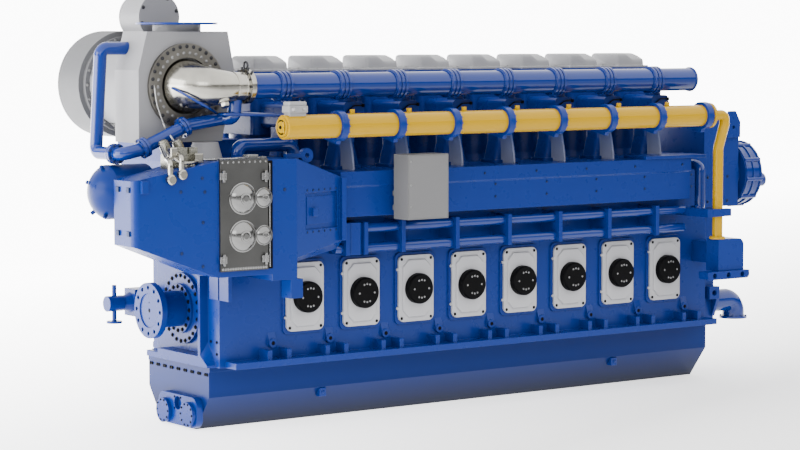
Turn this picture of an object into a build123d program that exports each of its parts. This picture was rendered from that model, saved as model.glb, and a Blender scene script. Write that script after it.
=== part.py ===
from build123d import *
import os
from math import asin, cos, sin

# In-line eight-cylinder dual-fuel engine, sizes in millimetres
# +X runs along the crankshaft to the pump end, -Y is the air and exhaust side, Z = 0 is the sump's bottom

# Cylinder row
CYL_COUNT = 8
PITCH = 820
CYL_X = [(i - (CYL_COUNT - 1) / 2) * PITCH for i in range(CYL_COUNT)]
MID_X = [(i - CYL_COUNT / 2) * PITCH for i in range(CYL_COUNT + 1)]

# Engine block
COUPLING_END = 1168
PUMP_END = 780
X_LEFT = CYL_X[0] - COUPLING_END
X_RIGHT = CYL_X[-1] + PUMP_END
SPLIT_Z = 790
DECK_Z = 3060
WALL_Y = 945
FOOT_Y = 1180
FOOT_T = 75
FOOT_TOP = SPLIT_Z + FOOT_T
FOOT_START = 80
FOOT_START_FAR = 330
NOTCH_X = 208
BLOCK_DX = -40
BLOCK_GAP = 270
BLOCK_T = 60
BLOCK_H = 113
BLOCK_REACH = 185
BOSS_R = 55
BOSS_T = 45
BOSS_UP = 175
BOSS_TAIL = 130
FOOT_HOLE_R = 26
FOOT_HOLE_IN = 95
FOOT_HOLE_STEP_COUNT = 2
END_OUT = 112
END_IN = 83
END_RECESS_H = 1300
SILL_FAR_Y = 300
SILL_H = 122
LEDGE_FAR_Y = 563
LEDGE_H = 70
CHEEK_Y = (640, 690)
CHEEK_H = 1073
CHEEK_FOOT_Y = (840, 869)
CHEEK_FOOT_H = 27
CHEEK_FLARE_H = (131, 291)
PAD_T = 25
PAD_RIM = 35
OVERRUN = 20

# Oil sump
SUMP_OVER = 240
SUMP_RIGHT = X_RIGHT + SUMP_OVER
SUMP_Y = 704
SUMP_KNEE_Z = 410
SUMP_BOTTOM_Y = 400
SUMP_FLANGE_Y = 718
SUMP_FLANGE_T = 75
END_BOX_T = 85
END_BOX_Y = (-560, 330)
END_BOX_Z = (25, 395)
END_BOX_R = 120
END_HOLE_R = 79
END_HOLE_DEPTH = 60
END_HOLE_Y = -118
END_HOLE_Z = 291
SUMP_COVER_R = 148
SUMP_COVER_T = 50
SUMP_COVER_AT = ((160, 176), (-395, 186))

# Crankcase doors and relief valves
DOOR_W = 530
DOOR_H = 820
DOOR_R = 75
DOOR_T = 30
DOOR_UP = 778
DOOR_Z = SPLIT_Z + DOOR_UP
DOOR_PANEL_IN = 55
DOOR_PANEL_T = 22
DOOR_PANEL_CUT = 85
DOOR_PANEL_SOFT = 9
VALVE_R = 188
VALVE_T = 95
VALVE_RIM_T = 25
VALVE_RIM_IN = 16

# Crankshaft end
CRANK_UP = 621
CRANK_Z = SPLIT_Z + CRANK_UP
END_COVER_R = 430
END_COVER_T = 45
END_RING_R = 300
END_RING_T = 40
NECK_R = 215
NECK_L = 333
FLANGE_R = 333
FLANGE_T = 75
FLANGE_RECESS_R = 205
FLANGE_RECESS_T = 14
FLANGE_HOLE_COUNT = 12
FLANGE_PCD_R = 275
FLANGE_HOLE_R = 24

# Turning gear
TURN_Y = 760
TURN_UP = 640
TURN_Z = SPLIT_Z + TURN_UP
TURN_BOX = (438, 260, 330)
NOTCH_Y = TURN_Y - TURN_BOX[1] / 2
TURN_CONE_R = (120, 85)
TURN_CONE_L = 110
TURN_MOTOR_R = 95
TURN_MOTOR_L = 210
TURN_WHEEL_R = 95
TURN_WHEEL_T = 25
TURN_WHEEL_DROP = 120
TURN_POST_R = 28
TURN_POST_H = 130

# Water pipes along the side
WATER_R = 58
WATER_Y = 1200
WATER_DROP = (929, 692)
WATER_Z = [DECK_Z - drop for drop in WATER_DROP]
WATER_BRACKET_T = 55
WATER_BRACKET_Y = 1305
WATER_BRACKET_RIM = 75
MANIFOLD_L = 212
MANIFOLD_Y = 1290
MANIFOLD_R = 70
SIDE_LEFT_IN = 270
SIDE_RIGHT_OUT = 130
SIDE_LEFT = CYL_X[0] + SIDE_LEFT_IN
SIDE_RIGHT = CYL_X[-1] + SIDE_RIGHT_OUT

# Air receiver
RECV_Y = 1330
RECV_DROP = 540
RECV_Z = DECK_Z - RECV_DROP
RECV_CREASE_DROP = 190
RECV_CREASE_Z = DECK_Z - RECV_CREASE_DROP
RECV_RIM = 22
RECV_SLOPE = 40

# Cylinder jackets, heads and covers
JACKET_R = 370
JACKET_FLARE_R = 404
JACKET_FLARE_H = 90
HEAD_UP = 420
HEAD_Z = DECK_Z + HEAD_UP
HEAD_W = 700
HEAD_D = 860
HEAD_R = 90
HEAD_H = 755
HEAD_TOP = HEAD_Z + HEAD_H
COVER_W = 410
COVER_D = 560
COVER_R = 115
COVER_H = 172
COVER_DRAFT = 18
COVER_ROUND = 45
COVER_RIM = 28
COVER_RIM_T = 30

# Inlet ducts
DUCT_DX = -110
DUCT_W = 300
DUCT_FRONT = 1000
DUCT_UP = (500, 820)
DUCT_Z = [DECK_Z + rise for rise in DUCT_UP]
DUCT_R = 70
DUCT_Y = 720
DUCT_D = 280
DUCT_FLARE_W = 390
DUCT_WAIST_W = 270
DUCT_FOOT_W = 440
DUCT_FOOT_D = 350
DUCT_FOOT_T = 40

# Exhaust pipe
EXH_Y = 1290
EXH_UP = 1030
EXH_Z = DECK_Z + EXH_UP
EXH_R = 148
EXH_OVER = 130
EXH_RIGHT = CYL_X[-1] + EXH_OVER
EXH_CAP_R = 160
EXH_CAP_T = 18
BELLOWS_DX = -523
BELLOWS_W = 170
BELLOWS_R = 162
BELLOWS_RING_R = 176
BELLOWS_RING_T = 34
BELLOWS_RING_COUNT = 3
BRANCH_R = 105
BRANCH_Y = 850
BRANCH_BEND = 190

# Gas pipe
GAS_Y = 1700
GAS_UP = 566
GAS_Z = DECK_Z + GAS_UP
GAS_R = 140
GAS_OVER = (765, 75)
GAS_LEFT = CYL_X[0] - GAS_OVER[0]
GAS_RIGHT = CYL_X[-1] + GAS_OVER[1]
GAS_CAP_R = 112
GAS_CAP_T = 25
CLAMP_R = 178
CLAMP_W = 90
CLAMP_ARM_T = 60
CLAMP_ARM_DROP = 215
FEED_R = 42
FEED_UP = 75
TAP_R = 30
TAP_H = 48
TAP_DX = 200
DROP_R = 68
DROP_OUT = 310
DROP_X = GAS_RIGHT + DROP_OUT
DROP_BEND = 130
DROP_IN = 110
DROP_IN_DROP = (126, 446)
DROP_IN_Z = [GAS_Z - drop for drop in DROP_IN_DROP]
DROP_FLANGE_R = 105
DROP_FLANGE_T = 28
DROP_START_R = 165
DROP_START_T = 45

# Gas inlet block and its three-hole plate
GBLOCK_IN = (460, 10)
GBLOCK_FRONT = 1690
GBLOCK_D = 240
GBLOCK_UP = (780, 1200)
GBLOCK_Z = [SPLIT_Z + rise for rise in GBLOCK_UP]
GBLOCK_R = 90
GNECK_W = 240
GNECK_DROP = 70
GPLATE_IN = (690, -50)
GPLATE_FRONT = 1740
GPLATE_D = 180
GPLATE_T = 105
GPLATE_R = 50
GPLATE_HOLE_R = 36
GPLATE_HOLE_DEPTH = 70
GPLATE_HOLE_COUNT = 3

# Gas pipe support and riser at the pump end
ARM_BLOCK_W = 170
ARM_FRONT = 1680
ARM_T = 80
ARM_DROP = (770, 670)
ARM_Z = [DECK_Z - drop for drop in ARM_DROP]
ARM_L = 420
RISER_R = 70
RISER_Y = 1200
RISER_OUT = 130
RISER_DROP = 110
RISER_TOP = DECK_Z - RISER_DROP
RISER_BEND = 100

# Control box
BOX_DX = (184, 787)
BOX_Y = 1700
BOX_BACK = 1410
BOX_UP = (-582, 196)
BOX_Z = [DECK_Z + rise for rise in BOX_UP]
BOX_RAIL_W = 40
BOX_RAIL_H = 60

# Charge air cooler
COOLER_OUT = 441
COOLER_LEFT = X_LEFT - COOLER_OUT
COOLER_W = 728
COOLER_MID = COOLER_LEFT + COOLER_W
COOLER_SIDE_W = 338
COOLER_RIGHT = COOLER_MID + COOLER_SIDE_W
COOLER_FRONT = 1650
COOLER_UP = (-1120, 200)
COOLER_Z = [DECK_Z + rise for rise in COOLER_UP]
COOLER_LOW, COOLER_TOP = COOLER_Z
COOLER_SIDE_DROP = 77
COOLER_SIDE_Z = COOLER_LOW - COOLER_SIDE_DROP
LEG_W = 165
LEG_OUT = 78
LEG_D = 200
LEG_H = 223
EYE_R = 85
EYE_BORE_R = 28
EYE_T = 60
EYE_IN = 150
EYE_OUT = 223
EYE_UP = 25
EYE_ARM_L = 290
EYE_ARM_H = 50
PLATE_T = 32
PLATE_UP = (66, 15)
PLATE_Z = [z + rise for z, rise in zip(COOLER_Z, PLATE_UP)]
PLATE_IN = (12, 79)
DOME_BIG_R = 172
DOME_SMALL_R = 110
DOME_BIG_IN = 309
DOME_SMALL_IN = 589
DOME_UP = (460, 890)
DOME_Z = [COOLER_LOW + rise for rise in DOME_UP]
DOME_H_SHARE = 0.42
STAY_T = 50
STAY_W = 200
STAY_Y = (800, 1025)
STAY_H = 340
DIFF_L = 1063
DIFF_LEFT = COOLER_LEFT - DIFF_L
DIFF_Y = (1156, 1600)
DIFF_UP = (398, -192)
DIFF_Z = [z + rise for z, rise in zip(COOLER_Z, DIFF_UP)]
DIFF_ROUND = 80
DIFF_LUG_IN = (85, 170)
DIFF_LUG_D = 45
DIFF_LUG_H = 140
OUT_FRONT = 1400
OUT_LEFT_UP = 110
OUT_LEFT_Z = COOLER_LOW + OUT_LEFT_UP
OUT_LEFT_CUT = (90, 60)
OUT_RIGHT_UP = (200, -260)
OUT_RIGHT_Z = [z + rise for z, rise in zip(COOLER_Z, OUT_RIGHT_UP)]
OUT_RIGHT_CUT = (150, 120)
OUT_PANEL_SHARES = (0.18, 0.87)
OUT_PANEL_UP = (480, -410)
OUT_PANEL_Z = [z + rise for z, rise in zip(COOLER_Z, OUT_PANEL_UP)]
OUT_PANEL_T = 30
OUT_BAR_W = 60
OUT_BAR_D = 75
VESSEL_Y = 880
VESSEL_DROP = 350
VESSEL_Z = COOLER_TOP - VESSEL_DROP
VESSEL_R = 310
VESSEL_L = 500
VESSEL_TIP = 200
VESSEL_OUT = 145

# Turbocharger
TURBO_OUT = 418
TURBO_X = X_LEFT - TURBO_OUT
TURBO_Z = EXH_Z
CASING_FRONT = 900
CASING_BACK = 350
CASING_UP = 630
CASING_TOP = TURBO_Z + CASING_UP
CASING_DROP = 640
CASING_BOTTOM = TURBO_Z - CASING_DROP
CASING_TOP_DX = (-495, 581)
CASING_MID_DX = (-610, 664)
CASING_FOOT_DX = (-610, 496)
CASING_MID_UP = 190
CASING_MID_Z = TURBO_Z + CASING_MID_UP
RING_R = 496
RING_T = 50
RING_BORE_R = 330
BEND_R0 = 320
BEND_R1 = 165
BEND_SECTION_COUNT = 5
BEND_L = 610
BEND_END = TURBO_X + BEND_L
BEND_FLANGE_R = 200
BEND_FLANGE_T = 60
NECK_OUT_R = 280
NECK_OUT_DX = 96
NECK_OUT_Y = 560
NECK_OUT_H = 80
NECK_OUT_Z = CASING_TOP + NECK_OUT_H
LID_R = 475
LID_T = 24
COMP_R = 520
COMP_BACK = 420
COMP_NECK_R = 190
COMP_NECK_DX = 90
COMP_NECK_Y = 180
TOP_DRUM_R = 275
TOP_DRUM_DX = 156
TOP_DRUM_UP = 800
TOP_DRUM_Z = TURBO_Z + TOP_DRUM_UP
TOP_DRUM_FRONT = 60
TOP_NECK_W = 440
SIL_R = 635
SIL_L = 580
SIL_FACE_R = 575
SIL_FACE_T = 60
BRACKET_IN = 538
BRACKET_OUT = 522
BRACKET_Y = (-640, 500)
BRACKET_DROP = 760
BRACKET_NOSE = 240

# Bypass pipe with its flanges
BYPASS_R = 75
BYPASS_BEND = 90
BYPASS_FLANGE_R = 118
BYPASS_FLANGE_T = 32
BYPASS_FLANGE_GAP = 8
BYPASS_NECK_R = 90
BYPASS_LOW_SHARES = (0.75,)
BYPASS_RUN_SHARES = (0.08, 0.92)
BYPASS_IN = 444
BYPASS_TOP = (874, -500, 438)
BYPASS_LOW = (949, -500, -750)
BYPASS_TURN = (949, -1110, -745)
BYPASS_RISE = (724, -1110, -700)
BYPASS_MID = (104, -1110, -440)
BYPASS_NEAR = (-366, -1110, -370)
BYPASS_UNDER = (-446, -1250, -370)
BYPASS_JOIN_DROP = 90

# Valve group on the diffuser
GROUP_DX = (-504, -184)
GROUP_Y = (-1420, -1200)
GROUP_UP = (-160, 80)
GROUP_Z = [COOLER_TOP + rise for rise in GROUP_UP]
CAN_R = 60
CAN_H = 220
CAN_LEAN_SHARE = -0.47
CAN_IN = (60, 240)
CAP_W = 110
CAP_H = 120
CAP_OVER = 45
CAP_IN = (165, 300)
BARREL_R = 45
BARREL_L = 120
BARREL_IN = (110, 205)
BARREL_DROP = 45
BARREL_Z = COOLER_TOP - BARREL_DROP

# Cone under the turbine bend and the run of air pipe
CONE_DX = 206
CONE_Y = 1000
CONE_R = (200, 150)
RUN_R = 82
RUN_Y = 1130
RUN_UP = 140
RUN_BEND = 100
RUN_IN = 149
RUN_OUT = 283
RUN_END_DROP = 160

# Pump end
END_CASE_OUT = 630
END_CASE_RIGHT = X_RIGHT + END_CASE_OUT
END_CASE_Y = 900
END_CASE_UP = (-710, 480)
END_CASE_Z = [DECK_Z + rise for rise in END_CASE_UP]
END_CASE_CUT = 90
EAR_IN = (250, 5)
EAR_T = 40
EAR_UP = (-260, -50, 20, 100)
EAR_TOP_IN = (200, 90)
EAR_BORE_R = 25
EAR_BORE_IN = 128
EAR_BORE_DROP = 121
LOW_CASE_Y = 850
PUMP_Y = 560
PUMP_DROP = 290
PUMP_Z = DECK_Z - PUMP_DROP
PUMP_R = 430
PUMP_HUB_R = 300
PUMP_HUB_L = 60
PUMP_L = 300
PUMP_CAP_R = 330
PUMP_CAP_L = 80
PUMP_STUB_R = 95
PUMP_STUB_L = 330
PUMP_STUB_DROP = 110
LUBE_Y = 690
LUBE_UP = 250
LUBE_Z = SPLIT_Z + LUBE_UP
LUBE_R = 150
LUBE_L = 523
LUBE_DROP = 260
LUBE_FLANGE_R = 190
LUBE_FLANGE_T = 32
LUG_W = 180
LUG_D = 120
LUG_UP = (310, 480)
LUG_Z = [SPLIT_Z + rise for rise in LUG_UP]
LUG_BORE_R = 40
LUG_WEB_T = 50
LUG_WEB_UP = 70
LUG_WEB_Z = SPLIT_Z + LUG_WEB_UP
LUG_WEB_D = 25

# Hidden side
CAM_Y = 1130
CAM_DROP = 580
CAM_Z = (DECK_Z - CAM_DROP, DECK_Z)
CAM_COVER_W = 640
CAM_COVER_H = 420
CAM_COVER_T = 30
CAM_COVER_R = 40
FUEL_W = 260
FUEL_D = 280
FUEL_R = 40
FUEL_Y = 750
FUEL_H = 300
FUEL_TOP_R = 100
FUEL_TOP_H = 180

PARTS = {}


def slab(xs, ys, zs):
    """Box between two x, two y and two z planes."""
    spans = [sorted(pair) for pair in (xs, ys, zs)]
    low = [pair[0] for pair in spans]
    sizes = [pair[1] - pair[0] for pair in spans]
    return Pos(*low) * Box(*sizes, align=(Align.MIN, Align.MIN, Align.MIN))


def along_x(points, xs):
    """Prism of a (y, z) outline between two x planes."""
    face = make_face(Polyline(*points, close=True))
    return extrude(Plane.YZ.offset(xs[0]) * face, amount=xs[1] - xs[0])


def along_y(points, ys):
    """Prism of an (x, z) outline between two y planes."""
    face = make_face(Polyline(*points, close=True))
    return extrude(Plane.XZ.offset(-ys[0]) * face, amount=ys[0] - ys[1])


def drum(base, axis, r, length):
    """Round bar from a base point along an axis."""
    bar = Cylinder(r, length, align=(Align.CENTER, Align.CENTER, Align.MIN))
    return Plane(origin=base, z_dir=axis) * bar


def taper(base, axis, r0, r1, length):
    """Cone from a base point along an axis."""
    body = Cone(r0, r1, length, align=(Align.CENTER, Align.CENTER, Align.MIN))
    return Plane(origin=base, z_dir=axis) * body


def dome(base, axis, r, height):
    """Shallow round cap on a base point, bulging along an axis."""
    ball = (r * r + height * height) / (height * 2)
    half = asin(r / ball) / 2
    middle = (ball * sin(half), height - ball + ball * cos(half))
    rim = ThreePointArc((r, 0), middle, (0, height))
    face = make_face([Line((0, 0), (r, 0)), rim, Line((0, height), (0, 0))])
    return Plane(origin=base, z_dir=axis) * revolve(Plane.XZ * face, axis=Axis.Z)


def tablet(x, z, w, h, r, ys):
    """Plate with round corners that faces along Y."""
    face = Pos(x, z) * RectangleRounded(w, h, r)
    return extrude(Plane.XZ.offset(-ys[0]) * face, amount=ys[0] - ys[1])


def pipe(points, r, bend):
    """Round pipe along points with even bends."""
    path = FilletPolyline(*points, radius=bend)
    return sweep(Plane(path @ 0, z_dir=path % 0) * Circle(r), path=path)


def between_x(x0, points0, x1, points1):
    """Straight-sided body between two upright (y, z) outlines."""
    faces = []
    for x, points in ((x0, points0), (x1, points1)):
        faces.append(Plane.YZ.offset(x) * make_face(Polyline(*points, close=True)))
    return loft(Sketch() + faces)


def corners(ys, zs):
    """Corner points of an upright rectangle."""
    return [(ys[0], zs[0]), (ys[1], zs[0]), (ys[1], zs[1]), (ys[0], zs[1])]


def keep(name, *pieces):
    """Store the solids of one named piece."""
    solids = []
    for piece in pieces:
        solids.extend(piece.solids())
    PARTS[name] = solids


AWAY_X = (-1, 0, 0)
TO_X = (1, 0, 0)
NEAR = (0, -1, 0)
FAR = (0, 1, 0)
UP = (0, 0, 1)
DOWN = (0, 0, -1)


# Engine block with its stepped end, foot rails with blocks and bosses, and door seats
def block_end():
    front = X_LEFT - END_OUT
    inner, outer = [-y for y in CHEEK_Y]
    feet = []
    for foot_y, flare in zip(CHEEK_FOOT_Y, CHEEK_FLARE_H):
        feet.append([(inner, SPLIT_Z), (-foot_y, SPLIT_Z), (-foot_y, SPLIT_Z + CHEEK_FOOT_H),
                     (outer, SPLIT_Z + flare), (outer, SPLIT_Z + CHEEK_H), (inner, SPLIT_Z + CHEEK_H)])
    cheek = between_x(front, feet[0], X_LEFT, feet[1])
    sill = slab((front, X_LEFT + END_IN), (inner, SILL_FAR_Y), (SPLIT_Z, SPLIT_Z + SILL_H))
    ledge = slab((front, X_LEFT), (inner, LEDGE_FAR_Y), (SPLIT_Z, SPLIT_Z + LEDGE_H))
    return [cheek, sill, ledge]


def foot_boss(x, side):
    wall = side * WALL_Y
    z = FOOT_TOP + BOSS_UP
    tail = [(wall, z), (wall + side * BOSS_T, z), (wall, z + BOSS_TAIL)]
    return drum((x, wall, z), (0, side, 0), BOSS_R, BOSS_T) + along_x(tail, (x - BOSS_R, x + BOSS_R))


def engine_block():
    body = slab((X_LEFT, X_RIGHT), (-WALL_Y, WALL_Y), (SPLIT_Z, DECK_Z))
    body -= slab((X_LEFT - OVERRUN, X_LEFT + NOTCH_X), (NOTCH_Y, WALL_Y + OVERRUN),
                 (SPLIT_Z - OVERRUN, DECK_Z + OVERRUN))
    body -= slab((X_LEFT - OVERRUN, X_LEFT + END_IN), (-CHEEK_Y[0], NOTCH_Y + OVERRUN),
                 (SPLIT_Z + LEDGE_H, SPLIT_Z + END_RECESS_H))
    extras = block_end()
    holes = []
    for side, start in ((-1, FOOT_START), (1, FOOT_START_FAR)):
        wall = side * WALL_Y
        extras.append(slab((X_LEFT + start, X_RIGHT), (wall, side * FOOT_Y), (SPLIT_Z, FOOT_TOP)))
        for x in MID_X:
            at = x + BLOCK_DX
            for shift in (-BLOCK_GAP / 2, BLOCK_GAP / 2):
                xs = (at + shift - BLOCK_T / 2, at + shift + BLOCK_T / 2)
                extras.append(slab(xs, (wall, wall + side * BLOCK_REACH), (FOOT_TOP, FOOT_TOP + BLOCK_H)))
            extras.append(foot_boss(at, side))
        for x in CYL_X:
            seat = (wall, wall + side * PAD_T)
            extras.append(tablet(x, DOOR_Z, DOOR_W + PAD_RIM * 2, DOOR_H + PAD_RIM * 2, DOOR_R, seat))
        for x in MID_X[::FOOT_HOLE_STEP_COUNT]:
            spot = (x, side * (FOOT_Y - FOOT_HOLE_IN), SPLIT_Z - OVERRUN)
            holes.append(drum(spot, UP, FOOT_HOLE_R, FOOT_T + OVERRUN * 2))
    return body + extras - holes


# Oil sump with its top flange
def oil_sump():
    outline = [(-SUMP_BOTTOM_Y, 0), (-SUMP_Y, SUMP_KNEE_Z), (-SUMP_Y, SPLIT_Z - SUMP_FLANGE_T),
               (-SUMP_FLANGE_Y, SPLIT_Z - SUMP_FLANGE_T), (-SUMP_FLANGE_Y, SPLIT_Z)]
    mirrored = [(-y, z) for y, z in reversed(outline)]
    return along_x(outline + mirrored, (X_LEFT, SUMP_RIGHT))


# Box at the foot of the sump's end, with an open pipe hole
def sump_end_box():
    y0, y1 = END_BOX_Y
    z0, z1 = END_BOX_Z
    face = Pos((y0 + y1) / 2, (z0 + z1) / 2) * RectangleRounded(y1 - y0, z1 - z0, END_BOX_R)
    box = extrude(Plane.YZ.offset(X_LEFT - END_BOX_T) * face, amount=END_BOX_T)
    front = X_LEFT - END_BOX_T - OVERRUN
    return box - drum((front, END_HOLE_Y, END_HOLE_Z), TO_X, END_HOLE_R, END_HOLE_DEPTH + OVERRUN)


def sump_covers():
    front = X_LEFT - END_BOX_T
    return [drum((front, y, z), AWAY_X, SUMP_COVER_R, SUMP_COVER_T) for y, z in SUMP_COVER_AT]


# Crankcase doors of one side, each with a raised panel that has cut corners
def door_panel(side):
    w, h = DOOR_W - DOOR_PANEL_IN * 2, DOOR_H - DOOR_PANEL_IN * 2
    outline = Rectangle(w, h)
    outline = chamfer(outline.vertices(), DOOR_PANEL_CUT)
    face = side * (WALL_Y + PAD_T + DOOR_T)
    plate = extrude(Plane.XZ.offset(-face) * outline, amount=-side * DOOR_PANEL_T)
    front = plate.faces().sort_by(Axis.Y)[-1 if side > 0 else 0]
    return chamfer(front.edges(), DOOR_PANEL_SOFT)


def doors(side):
    seat = side * (WALL_Y + PAD_T)
    panel = door_panel(side)
    made = []
    for x in CYL_X:
        door = tablet(x, DOOR_Z, DOOR_W, DOOR_H, DOOR_R, (seat, seat + side * DOOR_T))
        made.append(door + Pos(x, 0, DOOR_Z) * panel)
    return made


def relief_valves():
    seat = -(WALL_Y + PAD_T + DOOR_T + DOOR_PANEL_T)
    made = []
    for x in CYL_X:
        body = drum((x, seat, DOOR_Z), NEAR, VALVE_R, VALVE_T - VALVE_RIM_T)
        rim_base = (x, seat - VALVE_T + VALVE_RIM_T, DOOR_Z)
        made.append(body + taper(rim_base, NEAR, VALVE_R, VALVE_R - VALVE_RIM_IN, VALVE_RIM_T))
    return made


# Crankshaft end: bolted cover, then the coupling flange on its neck
def crank_end_cover():
    seat = X_LEFT + END_IN
    cover = drum((seat, 0, CRANK_Z), AWAY_X, END_COVER_R, END_COVER_T)
    return cover + drum((seat - END_COVER_T, 0, CRANK_Z), AWAY_X, END_RING_R, END_RING_T)


def crank_flange():
    start = X_LEFT + END_IN - END_COVER_T - END_RING_T
    neck = drum((start, 0, CRANK_Z), AWAY_X, NECK_R, NECK_L)
    face = start - NECK_L
    flange = neck + drum((face, 0, CRANK_Z), AWAY_X, FLANGE_R, FLANGE_T)
    front = face - FLANGE_T - OVERRUN
    flange -= drum((front, 0, CRANK_Z), TO_X, FLANGE_RECESS_R, FLANGE_RECESS_T + OVERRUN)
    ring = Plane(origin=(front, 0, CRANK_Z), z_dir=TO_X) * PolarLocations(FLANGE_PCD_R, FLANGE_HOLE_COUNT)
    bore = Cylinder(FLANGE_HOLE_R, FLANGE_T + OVERRUN * 2, align=(Align.CENTER, Align.CENTER, Align.MIN))
    return flange - [spot * bore for spot in ring]


# Turning gear beside the flange: gear box, cone, motor, hand wheel and post
def turning_gear():
    length, width, height = TURN_BOX
    ys = (TURN_Y - width / 2, TURN_Y + width / 2)
    zs = (TURN_Z - height / 2, TURN_Z + height / 2)
    seat = X_LEFT + NOTCH_X
    x = seat - length
    gear = slab((x, seat), ys, zs)
    gear += taper((x, TURN_Y, TURN_Z), AWAY_X, *TURN_CONE_R, TURN_CONE_L)
    gear += drum((x - TURN_CONE_L, TURN_Y, TURN_Z), AWAY_X, TURN_MOTOR_R, TURN_MOTOR_L)
    post = (x - TURN_CONE_L - TURN_MOTOR_L / 2, TURN_Y, TURN_Z)
    gear += drum(post, UP, TURN_POST_R, TURN_MOTOR_R + TURN_POST_H)
    gear += drum(post, DOWN, TURN_POST_R, TURN_MOTOR_R + TURN_WHEEL_DROP)
    wheel = (post[0], TURN_Y, TURN_Z - TURN_MOTOR_R - TURN_WHEEL_DROP)
    return gear + drum(wheel, DOWN, TURN_WHEEL_R, TURN_WHEEL_T)


# Water pipes and the plates that carry them
def water_pipe(z):
    return drum((SIDE_LEFT, -WATER_Y, z), TO_X, WATER_R, SIDE_RIGHT - SIDE_LEFT)


def water_brackets():
    made = []
    zs = (WATER_Z[0] - WATER_BRACKET_RIM, WATER_Z[1] + WATER_BRACKET_RIM)
    for x in MID_X[1:-1]:
        xs = (x - WATER_BRACKET_T / 2, x + WATER_BRACKET_T / 2)
        plate = slab(xs, (-WATER_BRACKET_Y, -WALL_Y), zs)
        made.append(plate)
    start = MID_X[1] + WATER_BRACKET_T / 2
    box = slab((start, start + MANIFOLD_L), (-MANIFOLD_Y, -WALL_Y), zs)
    box = fillet(box.edges().filter_by(Axis.Z).group_by(Axis.Y)[0], MANIFOLD_R)
    end = start + MANIFOLD_L
    made[0] += box + slab((end, end + WATER_BRACKET_T), (-WATER_BRACKET_Y, -WALL_Y), zs)
    return [plate - [water_pipe(z) for z in WATER_Z] for plate in made]


# Air receiver along the side
def air_receiver():
    face = -RECV_Y
    outline = [(-WALL_Y, RECV_Z - RECV_SLOPE), (face, RECV_Z), (face, RECV_CREASE_Z),
               (face - RECV_RIM, RECV_CREASE_Z + RECV_RIM), (face - RECV_RIM, DECK_Z), (-WALL_Y, DECK_Z)]
    return along_x(outline, (SIDE_LEFT, SIDE_RIGHT))


# Cylinder jackets, heads and covers
def cylinder_jackets():
    made = []
    for x in CYL_X:
        jacket = drum((x, 0, DECK_Z), UP, JACKET_R, HEAD_Z - DECK_Z)
        made.append(jacket + taper((x, 0, DECK_Z), UP, JACKET_FLARE_R, JACKET_R, JACKET_FLARE_H))
    return made


def cylinder_heads():
    face = RectangleRounded(HEAD_W, HEAD_D, HEAD_R)
    return [extrude(Pos(x, 0, HEAD_Z) * face, amount=HEAD_TOP - HEAD_Z) for x in CYL_X]


def head_covers():
    rim = RectangleRounded(COVER_W + COVER_RIM * 2, COVER_D + COVER_RIM * 2, COVER_R)
    foot = RectangleRounded(COVER_W, COVER_D, COVER_R)
    crown = RectangleRounded(COVER_W - COVER_DRAFT * 2, COVER_D - COVER_DRAFT * 2, COVER_R - COVER_DRAFT)
    body = loft(Sketch() + [foot, Pos(0, 0, COVER_H) * crown])
    body = fillet(body.edges().group_by(Axis.Z)[-1], COVER_ROUND)
    body += extrude(rim, amount=COVER_RIM_T)
    return [Pos(x, 0, HEAD_TOP) * body for x in CYL_X]


# Inlet ducts from the deck to the heads, flared at the foot
def inlet_ducts():
    low, high = DUCT_Z
    foot_top = DECK_Z + DUCT_FOOT_T
    plate = Pos(0, -DUCT_Y, DECK_Z) * RectangleRounded(DUCT_FOOT_W, DUCT_FOOT_D, DUCT_R)
    foot = extrude(plate, amount=DUCT_FOOT_T)
    flare = Pos(0, -DUCT_Y, foot_top) * RectangleRounded(DUCT_FLARE_W, DUCT_D, DUCT_R)
    waist = Pos(0, -DUCT_Y, (low + foot_top) / 2) * RectangleRounded(DUCT_WAIST_W, DUCT_D, DUCT_R)
    leg = loft(Sketch() + [flare, waist])
    leg += extrude(waist, amount=(high - foot_top) / 2)
    top = tablet(0, (low + high) / 2, DUCT_W, high - low, DUCT_R, (-DUCT_FRONT, -HEAD_D / 2))
    duct = foot + leg + top
    return [Pos(x + DUCT_DX, 0, 0) * duct for x in CYL_X]


# Exhaust pipe in lengths, bellows between them, branches from the ducts
def exhaust_bellows_x():
    return [x + BELLOWS_DX for x in CYL_X]


def exhaust_pipe():
    stops = [BEND_END]
    for x in exhaust_bellows_x():
        stops += [x - BELLOWS_W / 2, x + BELLOWS_W / 2]
    stops.append(EXH_RIGHT)
    made = []
    for start, stop in zip(stops[::2], stops[1::2]):
        made.append(drum((start, -EXH_Y, EXH_Z), TO_X, EXH_R, stop - start))
    made[-1] += drum((EXH_RIGHT, -EXH_Y, EXH_Z), TO_X, EXH_CAP_R, EXH_CAP_T)
    return made


def exhaust_bellows():
    made = []
    step = BELLOWS_W / BELLOWS_RING_COUNT
    for x in exhaust_bellows_x():
        body = drum((x - BELLOWS_W / 2, -EXH_Y, EXH_Z), TO_X, BELLOWS_R, BELLOWS_W)
        for ring in range(BELLOWS_RING_COUNT):
            start = x - BELLOWS_W / 2 + step * ring + (step - BELLOWS_RING_T) / 2
            body += drum((start, -EXH_Y, EXH_Z), TO_X, BELLOWS_RING_R, BELLOWS_RING_T)
        made.append(body)
    return made


def exhaust_branches():
    made = []
    for x in CYL_X:
        at = x + DUCT_DX
        points = [(at, -BRANCH_Y, DUCT_Z[1]), (at, -BRANCH_Y, EXH_Z), (at, -EXH_Y, EXH_Z)]
        core = drum((at - BRANCH_R * 2, -EXH_Y, EXH_Z), TO_X, EXH_R, BRANCH_R * 4)
        made.append(pipe(points, BRANCH_R, BRANCH_BEND) - core)
    return made


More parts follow.
